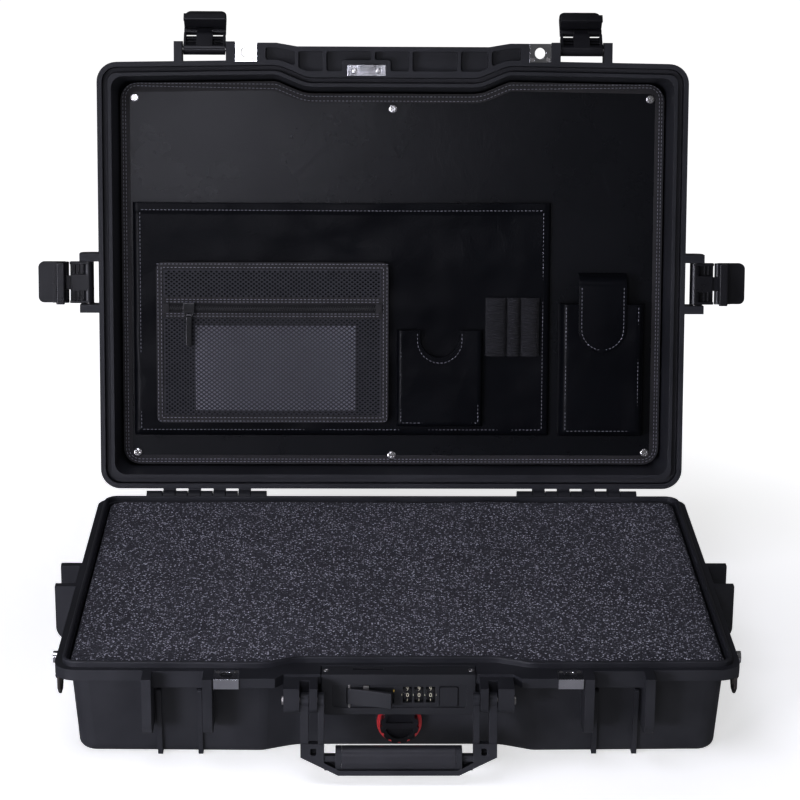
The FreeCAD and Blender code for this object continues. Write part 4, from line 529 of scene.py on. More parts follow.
# The floor glows less near the case, so that the case's shadow shows; reflections don't see it glow
floorLook = {
    "size": 14, "lit": (0.30, 0.30, 0.31, 1), "seen": (0.86, 0.86, 0.86, 1), "near": 0.30, "nearGlow": 0.62,
    "far": 0.75, "farGlow": 1.0, "bounce": 0.8, "roughness": 0.8, "specular": 0.1,
}


def addFloor():
    bpy.ops.mesh.primitive_plane_add(size=floorLook["size"], location=(0, 0, 0))
    floor = bpy.context.object
    floor.name = "paleFloor"
    material, board, shader, place = newMaterial(
        "paleFloor", floorLook["roughness"], specular=floorLook["specular"]
    )
    shader.inputs["Emission Color"].default_value = (1, 1, 1, 1)
    path = board.add("ShaderNodeLightPath")
    seen = path.outputs["Is Camera Ray"]
    board.plug(shader, "Base Color", board.mixColour(seen, floorLook["lit"], floorLook["seen"]))
    away = board.add("ShaderNodeVectorMath", {"operation": "LENGTH"}, Vector=place).outputs["Value"]
    nearStop = (floorLook["near"], grey(floorLook["nearGlow"]))
    farStop = (floorLook["far"], grey(floorLook["farGlow"]))
    glow = board.ramp(away, nearStop, farStop)
    direct = board.mathNode("ADD", seen, path.outputs["Is Glossy Ray"], clamp=True)
    bounce = board.mathNode("MULTIPLY", board.mathNode("SUBTRACT", 1.0, direct), floorLook["bounce"])
    seenGlow = board.mathNode("MULTIPLY", seen, glow)
    board.plug(shader, "Emission Strength", board.mathNode("ADD", seenGlow, bounce))
    floor.data.materials.append(material)


addCamera()
addLamps()
addWorld()
addFloor()
bpy.context.scene.view_settings.view_transform = "Standard"
print("camera, lamps and floor placed")


# Helpers for modelling. Pieces are drawn in millimetres and settled in their place at the end.
def free():
    if bpy.context.mode != "OBJECT":
        bpy.ops.object.mode_set(mode="OBJECT")
    bpy.ops.object.select_all(action="DESELECT")


def activate(piece):
    free()
    piece.select_set(True)
    bpy.context.view_layer.objects.active = piece


# A new piece's place goes into its mesh, and it gets its finish
def begin(name, finish):
    piece = bpy.context.object
    piece.name = name
    piece.data.transform(piece.matrix_basis)
    piece.matrix_basis = Matrix()
    piece.data.materials.clear()
    piece.data.materials.append(finishes[finish])
    return piece


def applyModifier(piece, kind, **values):
    modifier = piece.modifiers.new(kind.lower(), kind)
    for name, value in values.items():
        setattr(modifier, name, value)
    activate(piece)
    bpy.ops.object.modifier_apply(modifier=modifier.name)


def smooth(piece, degrees=40):
    activate(piece)
    bpy.ops.object.shade_smooth_by_angle(angle=math.radians(degrees))


def settle(piece, space, body):
    piece.data.transform(space)
    piece.data.update()
    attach(piece, body)


def joinPieces(pieces, name):
    free()
    for piece in pieces:
        piece.select_set(True)
    bpy.context.view_layer.objects.active = pieces[0]
    bpy.ops.object.join()
    joined = bpy.context.object
    joined.name = name
    return joined


def placeCopy(pattern, name, matrix):
    piece = bpy.data.objects.new(name, pattern.data.copy())
    piece.data.transform(matrix)
    bpy.context.collection.objects.link(piece)
    return piece


def takeCopy(nodeName, name, finish, space):
    piece = placeCopy(nodes[nodeName], name, space.inverted())
    piece.data.materials.clear()
    piece.data.materials.append(finishes[finish])
    activate(piece)
    bpy.ops.object.mode_set(mode="EDIT")
    bpy.ops.mesh.select_all(action="SELECT")
    bpy.ops.mesh.remove_doubles(threshold=0.01)
    bpy.ops.mesh.dissolve_limited(angle_limit=math.radians(0.5))
    bpy.ops.object.mode_set(mode="OBJECT")
    return piece


# A sheet of cells; place says where a vertex goes from its shares across and up the sheet
def makeSheet(name, finish, cells, place):
    free()
    bpy.ops.mesh.primitive_grid_add(x_subdivisions=cells[0], y_subdivisions=cells[1], size=1)
    sheet = begin(name, finish)
    for vertex in sheet.data.vertices:
        vertex.co = place(vertex.co.x + 0.5, vertex.co.y + 0.5)
    return sheet


def makeBlock(name, finish, matrix, size):
    free()
    bpy.ops.mesh.primitive_cube_add(size=1)
    block = begin(name, finish)
    block.data.transform(matrix @ Matrix.Diagonal((*size, 1)))
    return block


def cutAcross(piece, axis, low, high, step):
    activate(piece)
    bpy.ops.object.mode_set(mode="EDIT")
    count = max(int((high - low) / step), 1)
    for index in range(1, count):
        spot, normal = [0, 0, 0], [0, 0, 0]
        spot[axis] = low + (high - low) * index / count
        normal[axis] = 1
        bpy.ops.mesh.select_all(action="SELECT")
        bpy.ops.mesh.bisect(plane_co=spot, plane_no=normal)
    bpy.ops.object.mode_set(mode="OBJECT")


def wave(x, y, pitch, seed):
    return noise.noise(Vector((x / pitch, y / pitch, seed)))


# A node's edges in panel space as seen from the front: left, right, low and high
def panelArea(name):
    low, high = boxIn(panelSpace, name)
    return low.x, high.x, low.y, high.y


# How far out of the board's face a node's back and front lie
def panelDepth(name):
    low, high = boxIn(panelSpace, name)
    return low.z, high.z


# Points of an arc, this many degrees apart
arcStep = 15


def arc(centreX, centreY, radius, start, count, out):
    path = []
    for index in range(count):
        angle = math.radians(start + index * arcStep)
        path.append((centreX + radius * math.cos(angle), centreY + radius * math.sin(angle), out))
    return path


# One stitch is modelled once; every seam is a row of copies of it
stitchLook = {"pitch": 3.3, "long": 2.3, "wide": 0.62, "high": 0.5}


def makeStitch():
    free()
    bpy.ops.mesh.primitive_uv_sphere_add(segments=6, ring_count=4, radius=0.5)
    stitch = begin("stitchPattern", "seamThread")
    stitch.data.transform(Matrix.Rotation(math.radians(90), 4, "Y"))
    stitch.data.transform(Matrix.Diagonal((stitchLook["long"], stitchLook["wide"], stitchLook["high"], 1)))
    return stitch


stitchPattern = makeStitch()


# Places and directions at even steps along a path
def spotsAlong(path, pitch):
    points = [Vector(point) for point in path]
    lengths = [(after - before).length for before, after in zip(points, points[1:])]
    total = sum(lengths)
    count = max(int(total / pitch), 1)
    spots = []
    for index in range(count):
        goal = (index + 0.5) * total / count
        for start, end, length in zip(points, points[1:], lengths):
            if goal <= length:
                spots.append((start.lerp(end, goal / length), (end - start).normalized()))
                break
            goal -= length
    return spots


def sewSeams(name, paths, body="lid"):
    stitches = []
    for path in paths:
        for spot, along in spotsAlong(path, stitchLook["pitch"]):
            across = Vector((0, 0, 1)).cross(along)
            turn = Matrix((along, across, along.cross(across))).transposed().to_4x4()
            stitches.append(placeCopy(stitchPattern, name, Matrix.Translation(spot) @ turn))
    seam = joinPieces(stitches, name)
    for polygon in seam.data.polygons:
        polygon.use_smooth = True
    settle(seam, panelSpace, body)


# Finishes of the CAD nodes that show as they are
slotFinish = {
    "shell_plastic": "shellPlastic",
    "latch_plastic": "latchPlastic",
    "lock_plastic": "lockPlastic",
    "grip_rubber": "gripRubber",
    "seal_rubber": "sealRubber",
    "foam": "foamSpeckled",
    "panel_cloth": "panelLeather",
    "binding_webbing": "bindingWebbing",
    "net": "bindingWebbing",
    "steel": "plainSteel",
    "bright_steel": "brightSteel",
    "dark_steel": "darkSteel",
    "dial_plastic": "dialPlastic",
    "red_plastic": "redPlastic",
}
nodeFinish = {"zipper_slider": "blackEnamel", "zipper_pull": "blackEnamel"}
for part in frame["record"]["subparts"]:
    mesh = nodes[part["node"]].data
    mesh.materials.clear()
    mesh.materials.append(finishes[nodeFinish.get(part["node"], slotFinish[part["material_slot"]])])
print("CAD nodes dressed")


# The upper foam, softened at its edges and a little wavy and sunken on top
foamLook = {
    "voxel": 3.6, "soften": 0.5, "rounds": 2, "skin": 2, "pitch": 55, "seed": 3, "swell": 0.9, "sink": 0.54,
}


def makeFoam():
    foam = takeCopy("base_foam_top", "foamTop", "foamSpeckled", worldSpace)
    applyModifier(foam, "REMESH", mode="VOXEL", voxel_size=foamLook["voxel"])
    applyModifier(foam, "SMOOTH", factor=foamLook["soften"], iterations=foamLook["rounds"])
    top = max(vertex.co.z for vertex in foam.data.vertices)
    for vertex in foam.data.vertices:
        x, y, z = vertex.co
        if z > top - foamLook["skin"]:
            swell = wave(x, y, foamLook["pitch"], foamLook["seed"]) * foamLook["swell"]
            vertex.co.z += swell - foamLook["sink"]
    smooth(foam, 60)
    settle(foam, worldSpace, "base")
    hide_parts("base_foam_top", "base_foam_pad")


makeFoam()
print("foam made")


# Corners of a node that lie nearer than this across the face belong to one loose solid, such as a screw
looseReach = 12


# Middle and top of each loose solid of a node
def looseSpots(nodeName, space):
    inward = space.inverted()
    groups = []
    for spot in [inward @ vertex.co for vertex in nodes[nodeName].data.vertices]:
        for group in groups:
            if (group[0].xy - spot.xy).length < looseReach:
                group.append(spot)
                break
        else:
            groups.append([spot])
    middles = []
    for group in groups:
        acrosses = [spot.x for spot in group]
        ups = [spot.y for spot in group]
        top = max(spot.z for spot in group)
        middles.append(((min(acrosses) + max(acrosses)) / 2, (min(ups) + max(ups)) / 2, top))
    return middles


# Leather drawn over the organizer board, a little uneven and dimpled at its screws
coverLook = {
    "cells": (56, 40), "under": 4.0, "lift": 0.15, "pitch": 70, "seed": 1, "swell": 0.5, "dimple": 0.9,
    "dimpleReach": 7, "crestHalf": 130, "crestDeep": 22, "crestClear": 3, "onFace": 0.01,
}


# Points of the board's wavy upper edge, from left to right
def boardCrest():
    lowest = panelArea("organizer_panel")[3] - coverLook["crestDeep"]
    inward = panelSpace.inverted()
    screws = [Vector(spot).xy for spot in looseSpots("organizer_screws", panelSpace)]
    crest = {}
    for spot in [inward @ vertex.co for vertex in nodes["organizer_panel"].data.vertices]:
        upper = abs(spot.z) < coverLook["onFace"] and abs(spot.x) < coverLook["crestHalf"]
        upper = upper and spot.y > lowest
        if upper and min((spot.xy - screw).length for screw in screws) > coverLook["crestClear"]:
            crest[round(spot.x, 2)] = spot.y
    return sorted(crest.items())


def makePanelCover():
    left, right, low, high = panelArea("organizer_panel")
    under = coverLook["under"]
    crestAcross, crestUp = zip(*boardCrest())
    screws = [Vector(spot).xy for spot in looseSpots("organizer_screws", panelSpace)]

    def place(shareX, shareY):
        x = left + under + (right - left - 2 * under) * shareX
        top = float(np.interp(x, crestAcross, crestUp, left=high, right=high)) - under
        y = low + under + (top - low - under) * shareY
        near = min((Vector((x, y)) - screw).length for screw in screws)
        swell = (wave(x, y, coverLook["pitch"], coverLook["seed"]) + 1) * coverLook["swell"] / 2
        dimple = coverLook["dimple"] * max(1 - near / coverLook["dimpleReach"], 0)
        return x, y, coverLook["lift"] + max(swell - dimple, 0)

    cover = makeSheet("panelCover", "panelLeather", coverLook["cells"], place)
    smooth(cover, 60)
    settle(cover, panelSpace, "lid")


makePanelCover()
print("organizer board covered")


# Webbing folded over the edge of the board, with two rows of stitches
bindingLook = {
    "round": 0.42, "step": 22, "pitch": 16, "seed": 5, "swell": 0.25, "rows": (1.2, 5.0), "stitchOut": 0.15,
    "corner": 13, "cornerPoints": 7, "cornerShare": 0.6,
}


# Webbing of a node, with rounded edges; rise says how far a vertex is moved out
def makeWebbing(nodeName, name, look, rise):
    left, right, low, high = panelArea(nodeName)
    webbing = takeCopy(nodeName, name, "bindingWebbing", panelSpace)
    cutAcross(webbing, 0, left, right, look["step"])
    cutAcross(webbing, 1, low, high, look["step"])
    applyModifier(webbing, "BEVEL", width=look["round"], segments=2, limit_method="ANGLE")
    for vertex in webbing.data.vertices:
        vertex.co.z += rise(*vertex.co)
    smooth(webbing)
    settle(webbing, panelSpace, "lid")
    return webbing


def makeBinding():
    def rise(x, y, z):
        swell = wave(x, y, bindingLook["pitch"], bindingLook["seed"]) * bindingLook["swell"]
        return swell if z > 0 else 0

    binding = makeWebbing("organizer_binding", "organizerBinding", bindingLook, rise)
    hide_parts("organizer_binding")


# Outline of the board, inset from its edge: round corners, and the crest between the upper two
def boardOutline(inset, out):
    left, right, low, high = panelArea("organizer_panel")
    corner, points = bindingLook["corner"], bindingLook["cornerPoints"]
    radius = corner - inset * bindingLook["cornerShare"]
    path = arc(left + corner, low + corner, radius, 180, points, out)
    path += arc(right - corner, low + corner, radius, 270, points, out)
    path += arc(right - corner, high - corner, radius, 0, points, out)
    path += [(x, y - inset, out) for x, y in reversed(boardCrest())]
    path += arc(left + corner, high - corner, radius, 90, points, out)
    return path + path[:1]


makeBinding()
print("binding made")


# What the sewn pockets share: cells crowded to the edges, finer creases and a soft start of the hem
pocketShape = {
    "crowdAcross": 0.13, "crowdUp": 0.10, "finePitch": 0.3, "fineSeed": 4, "fineDepth": 0.25, "sink": 0.4,
    "hemStart": 1.2, "mouthDrop": 0.5, "edge": 0.35,
}


# A sewn pocket: leather drawn up from its sewn sides over a shallow space
def pocketSheet(name, finish, nodeName, look):
    left, right, low, high = panelArea(nodeName)
    back, front = panelDepth(nodeName)
    ground = back + look["ground"]
    rise = front - look["cloth"]
    fine = look["crease"] * pocketShape["finePitch"]

    def place(shareX, shareY):
        shareX -= pocketShape["crowdAcross"] * math.sin(2 * math.pi * shareX)
        shareY -= pocketShape["crowdUp"] * math.sin(2 * math.pi * shareY)
        x = left + (right - left) * shareX
        y = low + (high - low) * shareY
        roll = min(min(x - left, right - x, y - low) / look["roll"], 1)
        height = math.sqrt(max(1 - (1 - roll) ** 2, 0))
        creases = wave(x, y * look["stretch"], look["crease"], look["seed"]) * look["depth"]
        fineCrease = wave(x, y, fine, look["seed"] + pocketShape["fineSeed"]) * look["depth"]
        creases += fineCrease * pocketShape["fineDepth"]
        sag = look["sag"] * math.sin(math.pi * shareX) * max(1 - (high - y) / look["sagReach"], 0)
        loose = creases - look["depth"] * pocketShape["sink"] - sag
        hem = min(max((y - (high - look["hemWide"])) / pocketShape["hemStart"], 0), 1) * look["hem"]
        out = ground + (rise - ground) * height + loose * height + hem
        return x, y - sag * pocketShape["mouthDrop"], out

    return makeSheet(name, finish, look["cells"], place)


def closeSheet(piece, cloth):
    applyModifier(piece, "SOLIDIFY", thickness=cloth, offset=1.0)
    applyModifier(piece, "BEVEL", width=cloth * pocketShape["edge"], segments=2, limit_method="ANGLE")
    smooth(piece, 60)


# Seams down both sides of a pocket and along its foot; outs are their heights above, below and at the foot
def pocketRows(nodeName, seam, outs):
    left, right, low, high = panelArea(nodeName)
    rows = []
    for x in (left + seam["side"], right - seam["side"]):
        rows.append([(x, high - seam["top"], outs[0]), (x, low + seam["foot"], outs[1])])
    y = low + seam["up"]
    rows.append([(left + seam["ends"], y, outs[2]), (right - seam["ends"], y, outs[2])])
    return rows


documentLook = {
    "cells": (110, 64), "cloth": 1.2, "roll": 5.0, "crease": 46, "stretch": 1.6, "depth": 1.1, "seed": 11,
    "sag": 1.1, "sagReach": 60, "ground": 1.3, "hem": 0.7, "hemWide": 9.0,
}
documentSeam = {
    "side": 5.4, "top": 8, "foot": 5, "up": 4.6, "ends": 6, "deep": (0.25, 0.5, 0.4), "hemDown": 6.4,
    "hemDeep": 0.2, "middleDown": 7.0, "middleDeep": 0.75,
}
# Dents in the loose leather: where, how far they reach and how deep they are
documentDents = ((-47, 33, 16, 1.3), (-30, 26, 11, 0.9), (60, 40, 22, 0.8), (110, -90, 20, 0.8))
dentWide = 1.6


def makeDocumentPocket():
    left, right = panelArea("document_pocket")[:2]
    high, front = panelArea("document_pocket")[3], panelDepth("document_pocket")[1]
    piece = pocketSheet("documentPocket", "pocketLeather", "document_pocket", documentLook)
    for vertex in piece.data.vertices:
        x, y = vertex.co.xy
        for spotX, spotY, reach, deep in documentDents:
            away = math.hypot((x - spotX) / dentWide, y - spotY) / reach
            vertex.co.z -= deep * max(1 - away, 0) ** 2
    closeSheet(piece, documentLook["cloth"])
    settle(piece, panelSpace, "lid")
    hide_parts("document_pocket")
    top = front + documentLook["hem"]
    y, out = high - documentSeam["hemDown"], top - documentSeam["hemDeep"]
    middle = (0, high - documentSeam["middleDown"], top - documentSeam["middleDeep"])
    hemRow = [(left + documentSeam["ends"], y, out), middle, (right - documentSeam["ends"], y, out)]
    outs = [front - deep for deep in documentSeam["deep"]]
    sewSeams("documentSeams", [hemRow] + pocketRows("document_pocket", documentSeam, outs))


makeDocumentPocket()
print("document pocket made")


# Net pocket: webbing frame, and a net with staggered holes above and below the zipper
frameLook = {
    "round": 0.35, "step": 14, "pitch": 30, "seed": 2, "swell": 0.5, "sink": 0.1, "rows": (1.5, 4.5),
    "tapeRows": (3.6, 1.4), "tapeEnds": 8, "stitchOut": 0.1,
}
netLook = {
    "cellWide": 4.6, "cellHigh": 3.5, "spare": 4, "strand": 0.46, "thick": 0.5, "holeRound": 0.5,
    "holeShare": 0.22, "face": 12.9, "offTape": 4.5, "pitch": 34, "seed": 6, "sink": 0.3, "heldEdge": 12,
}


def makeMeshFrame():
    front = panelDepth("mesh_pocket_frame")[1]

    def rise(x, y, z):
        swell = wave(x, y, frameLook["pitch"], frameLook["seed"]) * frameLook["swell"]
        return (swell - frameLook["sink"]) * min(z / front, 1)

    piece = makeWebbing("mesh_pocket_frame", "meshPocketFrame", frameLook, rise)
    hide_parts("mesh_pocket_frame")


# The bevelled insets leave one large many-sided face in the middle of each whole cell
def openHoles(net):
    holeArea = netLook["cellWide"] * netLook["cellHigh"] / 2 * netLook["holeShare"]
    activate(net)
    bpy.ops.object.mode_set(mode="EDIT")
    bpy.ops.mesh.select_mode(type="FACE")
    bpy.ops.mesh.select_all(action="DESELECT")
    bpy.ops.object.mode_set(mode="OBJECT")
    for polygon in net.data.polygons:
        polygon.select = len(polygon.vertices) > 4 and polygon.area > holeArea
    bpy.ops.object.mode_set(mode="EDIT")
    bpy.ops.mesh.delete(type="FACE")
    bpy.ops.mesh.select_mode(type="VERT")
    bpy.ops.object.mode_set(mode="OBJECT")


def netWindow(name, left, right, low, high):
    free()
    wide, tall = netLook["cellWide"], netLook["cellHigh"]
    reach = int(2 * (right - left) / wide) + netLook["spare"]
    bpy.ops.mesh.primitive_grid_add(
        x_subdivisions=reach, y_subdivisions=reach, size=reach, rotation=(0, 0, math.radians(45))
    )
    net = begin(name, "netStrands")
    middle = Vector(((left + right) / 2, (low + high) / 2, netLook["face"]))
    cell = math.sqrt(2)
    net.data.transform(Matrix.Translation(middle) @ Matrix.Diagonal((wide / cell, tall / cell, 1, 1)))
    activate(net)
    bpy.ops.object.mode_set(mode="EDIT")
    for spot, normal in (
        ((left, 0, 0), (-1, 0, 0)),
        ((right, 0, 0), (1, 0, 0)),
        ((0, low, 0), (0, -1, 0)),
        ((0, high, 0), (0, 1, 0)),
    ):
        bpy.ops.mesh.select_all(action="SELECT")
        bpy.ops.mesh.bisect(plane_co=spot, plane_no=normal, clear_outer=True)
    bpy.ops.mesh.select_all(action="SELECT")
    bpy.ops.mesh.inset(thickness=netLook["strand"], use_individual=True)
    bpy.ops.mesh.bevel(offset=netLook["holeRound"], affect="VERTICES", segments=1)
    bpy.ops.object.mode_set(mode="OBJECT")
    openHoles(net)
    return net


def makeNet():
    left, right, low, high = panelArea("mesh_pocket_net")
    tapeLow, tapeHigh = panelArea("zipper_tape")[2:]
    windows = []
    for start, end in ((tapeHigh + netLook["offTape"], high), (low, tapeLow - netLook["offTape"])):
        net = netWindow("netWindow" + str(len(windows) + 1), left, right, start, end)
        for vertex in net.data.vertices:
            x, y = vertex.co.xy
            edge = min(x - left, right - x, y - start, end - y) / netLook["heldEdge"]
            swell = wave(x, y, netLook["pitch"], netLook["seed"]) - netLook["sink"]
            vertex.co.z += swell * min(max(edge, 0), 1)
        applyModifier(net, "SOLIDIFY", thickness=netLook["thick"], offset=0)
        smooth(net, 30)
        settle(net, panelSpace, "lid")
        windows.append(net)
    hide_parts("mesh_pocket_net")


makeMeshFrame()
makeNet()
print("net pocket made")


# Coil zipper on its tape, with a tab of cloth at each end
zipLook = {
    "deep": 1.0, "sag": 0.7, "tapeCells": (60, 3), "tapeDeep": 0.1, "pitch": 22, "seed": 9, "swell": 0.15,
    "tapeThick": 0.5, "tooth": 1.5, "toothRadius": 0.5, "toothLong": 1.9, "toothRound": 0.2,
    "toothOut": 0.1, "row": 0.75, "tab": (5.5, 8.0, 1.6), "tabIn": 2.5, "tabOut": 0.9, "tabRound": 0.5,
}


def zipSag(x, left, right):
    return zipLook["sag"] * math.sin(math.pi * min(max((x - left) / (right - left), 0), 1))


def makeZipTape(left, right, low, high, face):
    def place(shareX, shareY):
        x = left + (right - left) * shareX
        y = (low + high) / 2 + (high - low) * (shareY - 0.5)
        swell = wave(x, y, zipLook["pitch"], zipLook["seed"]) * zipLook["swell"]
        return x, y - zipSag(x, left, right), face - zipLook["tapeDeep"] + swell

    tape = makeSheet("zipperTape", "zipTape", zipLook["tapeCells"], place)
    applyModifier(tape, "SOLIDIFY", thickness=zipLook["tapeThick"], offset=-1.0)
    settle(tape, panelSpace, "lid")
    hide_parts("zipper_tape")


def makeZipTeeth(number, left, right, middle, face):
    tooth, radius = zipLook["tooth"], zipLook["toothRadius"]
    free()
    bpy.ops.mesh.primitive_cylinder_add(vertices=8, radius=radius, depth=zipLook["toothLong"])
    teeth = begin("zipperTeeth" + str(number + 1), "zipCoil")
    teeth.data.transform(Matrix.Rotation(math.radians(90), 4, "X"))
    applyModifier(teeth, "BEVEL", width=zipLook["toothRound"], segments=1)
    first = (left + tooth * (1 + number / 2), middle, face + zipLook["toothOut"])
    teeth.data.transform(Matrix.Translation(first))
    applyModifier(
        teeth,
        "ARRAY",
        count=int((right - left) / tooth) - 1,
        use_relative_offset=False,
        use_constant_offset=True,
        constant_offset_displace=(tooth, 0, 0),
    )
    for vertex in teeth.data.vertices:
        vertex.co.y -= zipSag(vertex.co.x, left, right)
    smooth(teeth)
    settle(teeth, panelSpace, "lid")


def makeZipper():
    left, right, low, high = panelArea("zipper_tape")
    middle, face = (low + high) / 2, panelDepth("zipper_tape")[1] - zipLook["deep"]
    makeZipTape(left, right, low, high, face)
    for number, side in enumerate((-1, 1)):
        makeZipTeeth(number, left, right, middle + side * zipLook["row"], face)
    for number, x in enumerate((left + zipLook["tabIn"], right - zipLook["tabIn"])):
        place = Matrix.Translation((x, middle, face + zipLook["tabOut"]))
        tab = makeBlock("zipperTab" + str(number + 1), "bindingWebbing", place, zipLook["tab"])
        applyModifier(tab, "BEVEL", width=zipLook["tabRound"], segments=2)
        smooth(tab)
        settle(tab, panelSpace, "lid")


makeZipper()
print("zipper made")


# Plain leaflet, slightly bent, left in the net pocket
leafletLook = {
    "left": -171, "right": -32, "low": -117, "high": -43, "out": 8.6, "bend": 1.4, "cells": (24, 12),
    "pitch": 40, "seed": 8, "swell": 0.5, "thick": 0.3,
}


def makeLeaflet():
    def place(shareX, shareY):
        x = leafletLook["left"] + (leafletLook["right"] - leafletLook["left"]) * shareX
        y = leafletLook["low"] + (leafletLook["high"] - leafletLook["low"]) * shareY
        swell = wave(x, y, leafletLook["pitch"], leafletLook["seed"]) * leafletLook["swell"]
        return x, y, leafletLook["out"] + (leafletLook["bend"] * math.sin(math.pi * shareX) + swell)

    leaflet = makeSheet("plainLeaflet", "leafletPaper", leafletLook["cells"], place)
    applyModifier(leaflet, "SOLIDIFY", thickness=leafletLook["thick"], offset=0)
    smooth(leaflet)
    settle(leaflet, panelSpace, "lid")


makeLeaflet()
print("leaflet made")


# Card pocket: two layers of leather, the outer one with a thumb notch
cardLook = {
    "cells": (34, 38), "cloth": 1.2, "roll": 3.0, "crease": 30, "stretch": 1.0, "depth": 0.8, "seed": 21,
    "sag": 0.5, "sagReach": 40, "ground": 1.3, "hem": 0.0, "hemWide": 4.0,
}
notchLook = {"half": 17, "depth": 24, "cutter": 30, "fill": 0.85, "arcStart": 195, "arcPoints": 11}
cardSeam = {
    "side": 2.6, "top": 1.5, "foot": 3, "up": 2.6, "ends": 3, "deep": 0.35, "lower": 0.4, "hemDown": 2.2,
    "offNotch": 2.4, "notchLower": 0.1,
}
liningLook = {
    "cells": (16, 16), "narrower": 4, "belowNotch": 3, "shorter": 3, "down": 1, "out": 2.4, "pitch": 24,
    "seed": 12, "swell": 0.5, "thick": 0.8,
}


def notchPath(middle, high, inset, out):
    half, depth = notchLook["half"] + inset, notchLook["depth"] + inset
    centre = high - depth + half
    bend = arc(middle, centre, half, notchLook["arcStart"], notchLook["arcPoints"], out)
    start = [(middle - half, high, out), (middle - half, centre, out)]
    return start + bend + [(middle + half, centre, out), (middle + half, high, out)]


def cutNotch(piece, middle, high, front):
    half, depth = notchLook["half"], notchLook["depth"]
    centre = high - depth + half
    free()
    bpy.ops.mesh.primitive_cylinder_add(
        vertices=48, radius=half, depth=notchLook["cutter"], location=(middle, centre, front)
    )
    cutter = begin("notchCutter", "pocketLeather")
    for vertex in cutter.data.vertices:
        if vertex.co.y > centre + 0.01:
            vertex.co.y += depth
    applyModifier(piece, "BOOLEAN", object=cutter, operation="DIFFERENCE")
    bpy.data.objects.remove(cutter)


def makeCardLining(left, right, low, high, back):
    top = high - notchLook["depth"] - liningLook["belowNotch"]

    def place(shareX, shareY):
        x = (left + right) / 2 + (shareX - 0.5) * (right - left - liningLook["narrower"])
        y = (low + top) / 2 + (shareY - 0.5) * (top - low - liningLook["shorter"]) - liningLook["down"]
        swell = wave(x, y, liningLook["pitch"], liningLook["seed"]) * liningLook["swell"]
        return x, y, back + liningLook["out"] + swell

    lining = makeSheet("cardLining", "panelLeather", liningLook["cells"], place)
    applyModifier(lining, "SOLIDIFY", thickness=liningLook["thick"], offset=0)
    smooth(lining)
    settle(lining, panelSpace, "lid")


def makeCardPocket():
    left, right, low, high = panelArea("card_pocket")
    back, front = panelDepth("card_pocket")
    middle, half = (left + right) / 2, notchLook["half"]
    piece = pocketSheet("cardPocket", "pocketLeather", "card_pocket", cardLook)
    applyModifier(piece, "SOLIDIFY", thickness=cardLook["cloth"], offset=1.0)
    cutNotch(piece, middle, high, front)
    smooth(piece, 50)
    settle(piece, panelSpace, "lid")
    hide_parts("card_pocket")
    makeCardLining(left, right, low, high, back)
    face = front - cardSeam["deep"]
    out = face - cardSeam["lower"]
    y, clear, ends = high - cardSeam["hemDown"], cardSeam["offNotch"], cardSeam["ends"]
    rows = pocketRows("card_pocket", cardSeam, [out, out, out])
    rows.append([(left + ends, y, out), (middle - half - clear, y, out)])
    rows.append([(middle + half + clear, y, out), (right - ends, y, out)])
    rows.append(notchPath(middle, y, clear, face - cardSeam["notchLower"]))
    sewSeams("cardSeams", rows)


makeCardPocket()
print("card pocket made")


# Ribbed elastic loops for pens on a strip of the same elastic; wider loops stand further out
penLook = {
    "widths": (18.8, 11.8, 16.5), "margin": 0.5, "rib": 2.3, "ribHigh": 0.5, "ribSide": 0.5, "cloth": 0.8,
    "pinch": 0.35, "pinchReach": 5, "cut": 0.7, "riseLeast": 0.75, "riseMore": 0.25, "riseRadius": 9,
}
backingLook = {"cells": (20, 20), "out": 0.5, "thick": 0.6}


def makePenLoop(number, middle, width, low, high, back, front):
    radius = width / 2 - penLook["margin"]
    rise = (front - back) * (penLook["riseLeast"] + penLook["riseMore"] * radius / penLook["riseRadius"])
    free()
    bpy.ops.mesh.primitive_cylinder_add(vertices=48, radius=1, depth=1, end_fill_type="NOTHING")
    loop = begin("penLoop" + str(number + 1), "ribbedElastic")
    turn = Matrix.Rotation(math.radians(90), 4, "X")
    spread = Matrix.Diagonal((radius, high - low, rise, 1))
    loop.data.transform(Matrix.Translation((middle, (low + high) / 2, back)) @ spread @ turn)
    activate(loop)
    bpy.ops.object.mode_set(mode="EDIT")
    bpy.ops.mesh.select_all(action="SELECT")
    bpy.ops.mesh.bisect(plane_co=(0, 0, back), plane_no=(0, 0, -1), clear_outer=True)
    bpy.ops.object.mode_set(mode="OBJECT")
    cutAcross(loop, 1, low, high, penLook["cut"])
    for vertex in loop.data.vertices:
        x, y, z = vertex.co
        rib = penLook["ribHigh"] * math.sin(2 * math.pi * (y - low) / penLook["rib"])
        end = max(1 - min(y - low, high - y) / penLook["pinchReach"], 0)
        share = 1 - rib / rise - penLook["pinch"] * end * end
        vertex.co.z = back + (z - back) * share
        vertex.co.x = middle + (x - middle) * (1 - rib * penLook["ribSide"] / radius)
    applyModifier(loop, "SOLIDIFY", thickness=penLook["cloth"], offset=-1.0)
    smooth(loop, 60)
    settle(loop, panelSpace, "lid")


def makePenLoops():
    left, right, low, high = panelArea("pen_loops")
    back, front = panelDepth("pen_loops")
    start = left
    for number, width in enumerate(penLook["widths"]):
        makePenLoop(number, start + width / 2, width, low, high, back, front)
        start += width

    def place(shareX, shareY):
        x = (left + right) / 2 + (shareX - 0.5) * (right - left)
        y = (low + high) / 2 + (shareY - 0.5) * (high - low)
        return x, y, back + backingLook["out"]

    strip = makeSheet("penBacking", "ribbedElastic", backingLook["cells"], place)
    applyModifier(strip, "SOLIDIFY", thickness=backingLook["thick"], offset=0)
    settle(strip, panelSpace, "lid")
    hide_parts("pen_loops")


makePenLoops()
print("pen loops made")


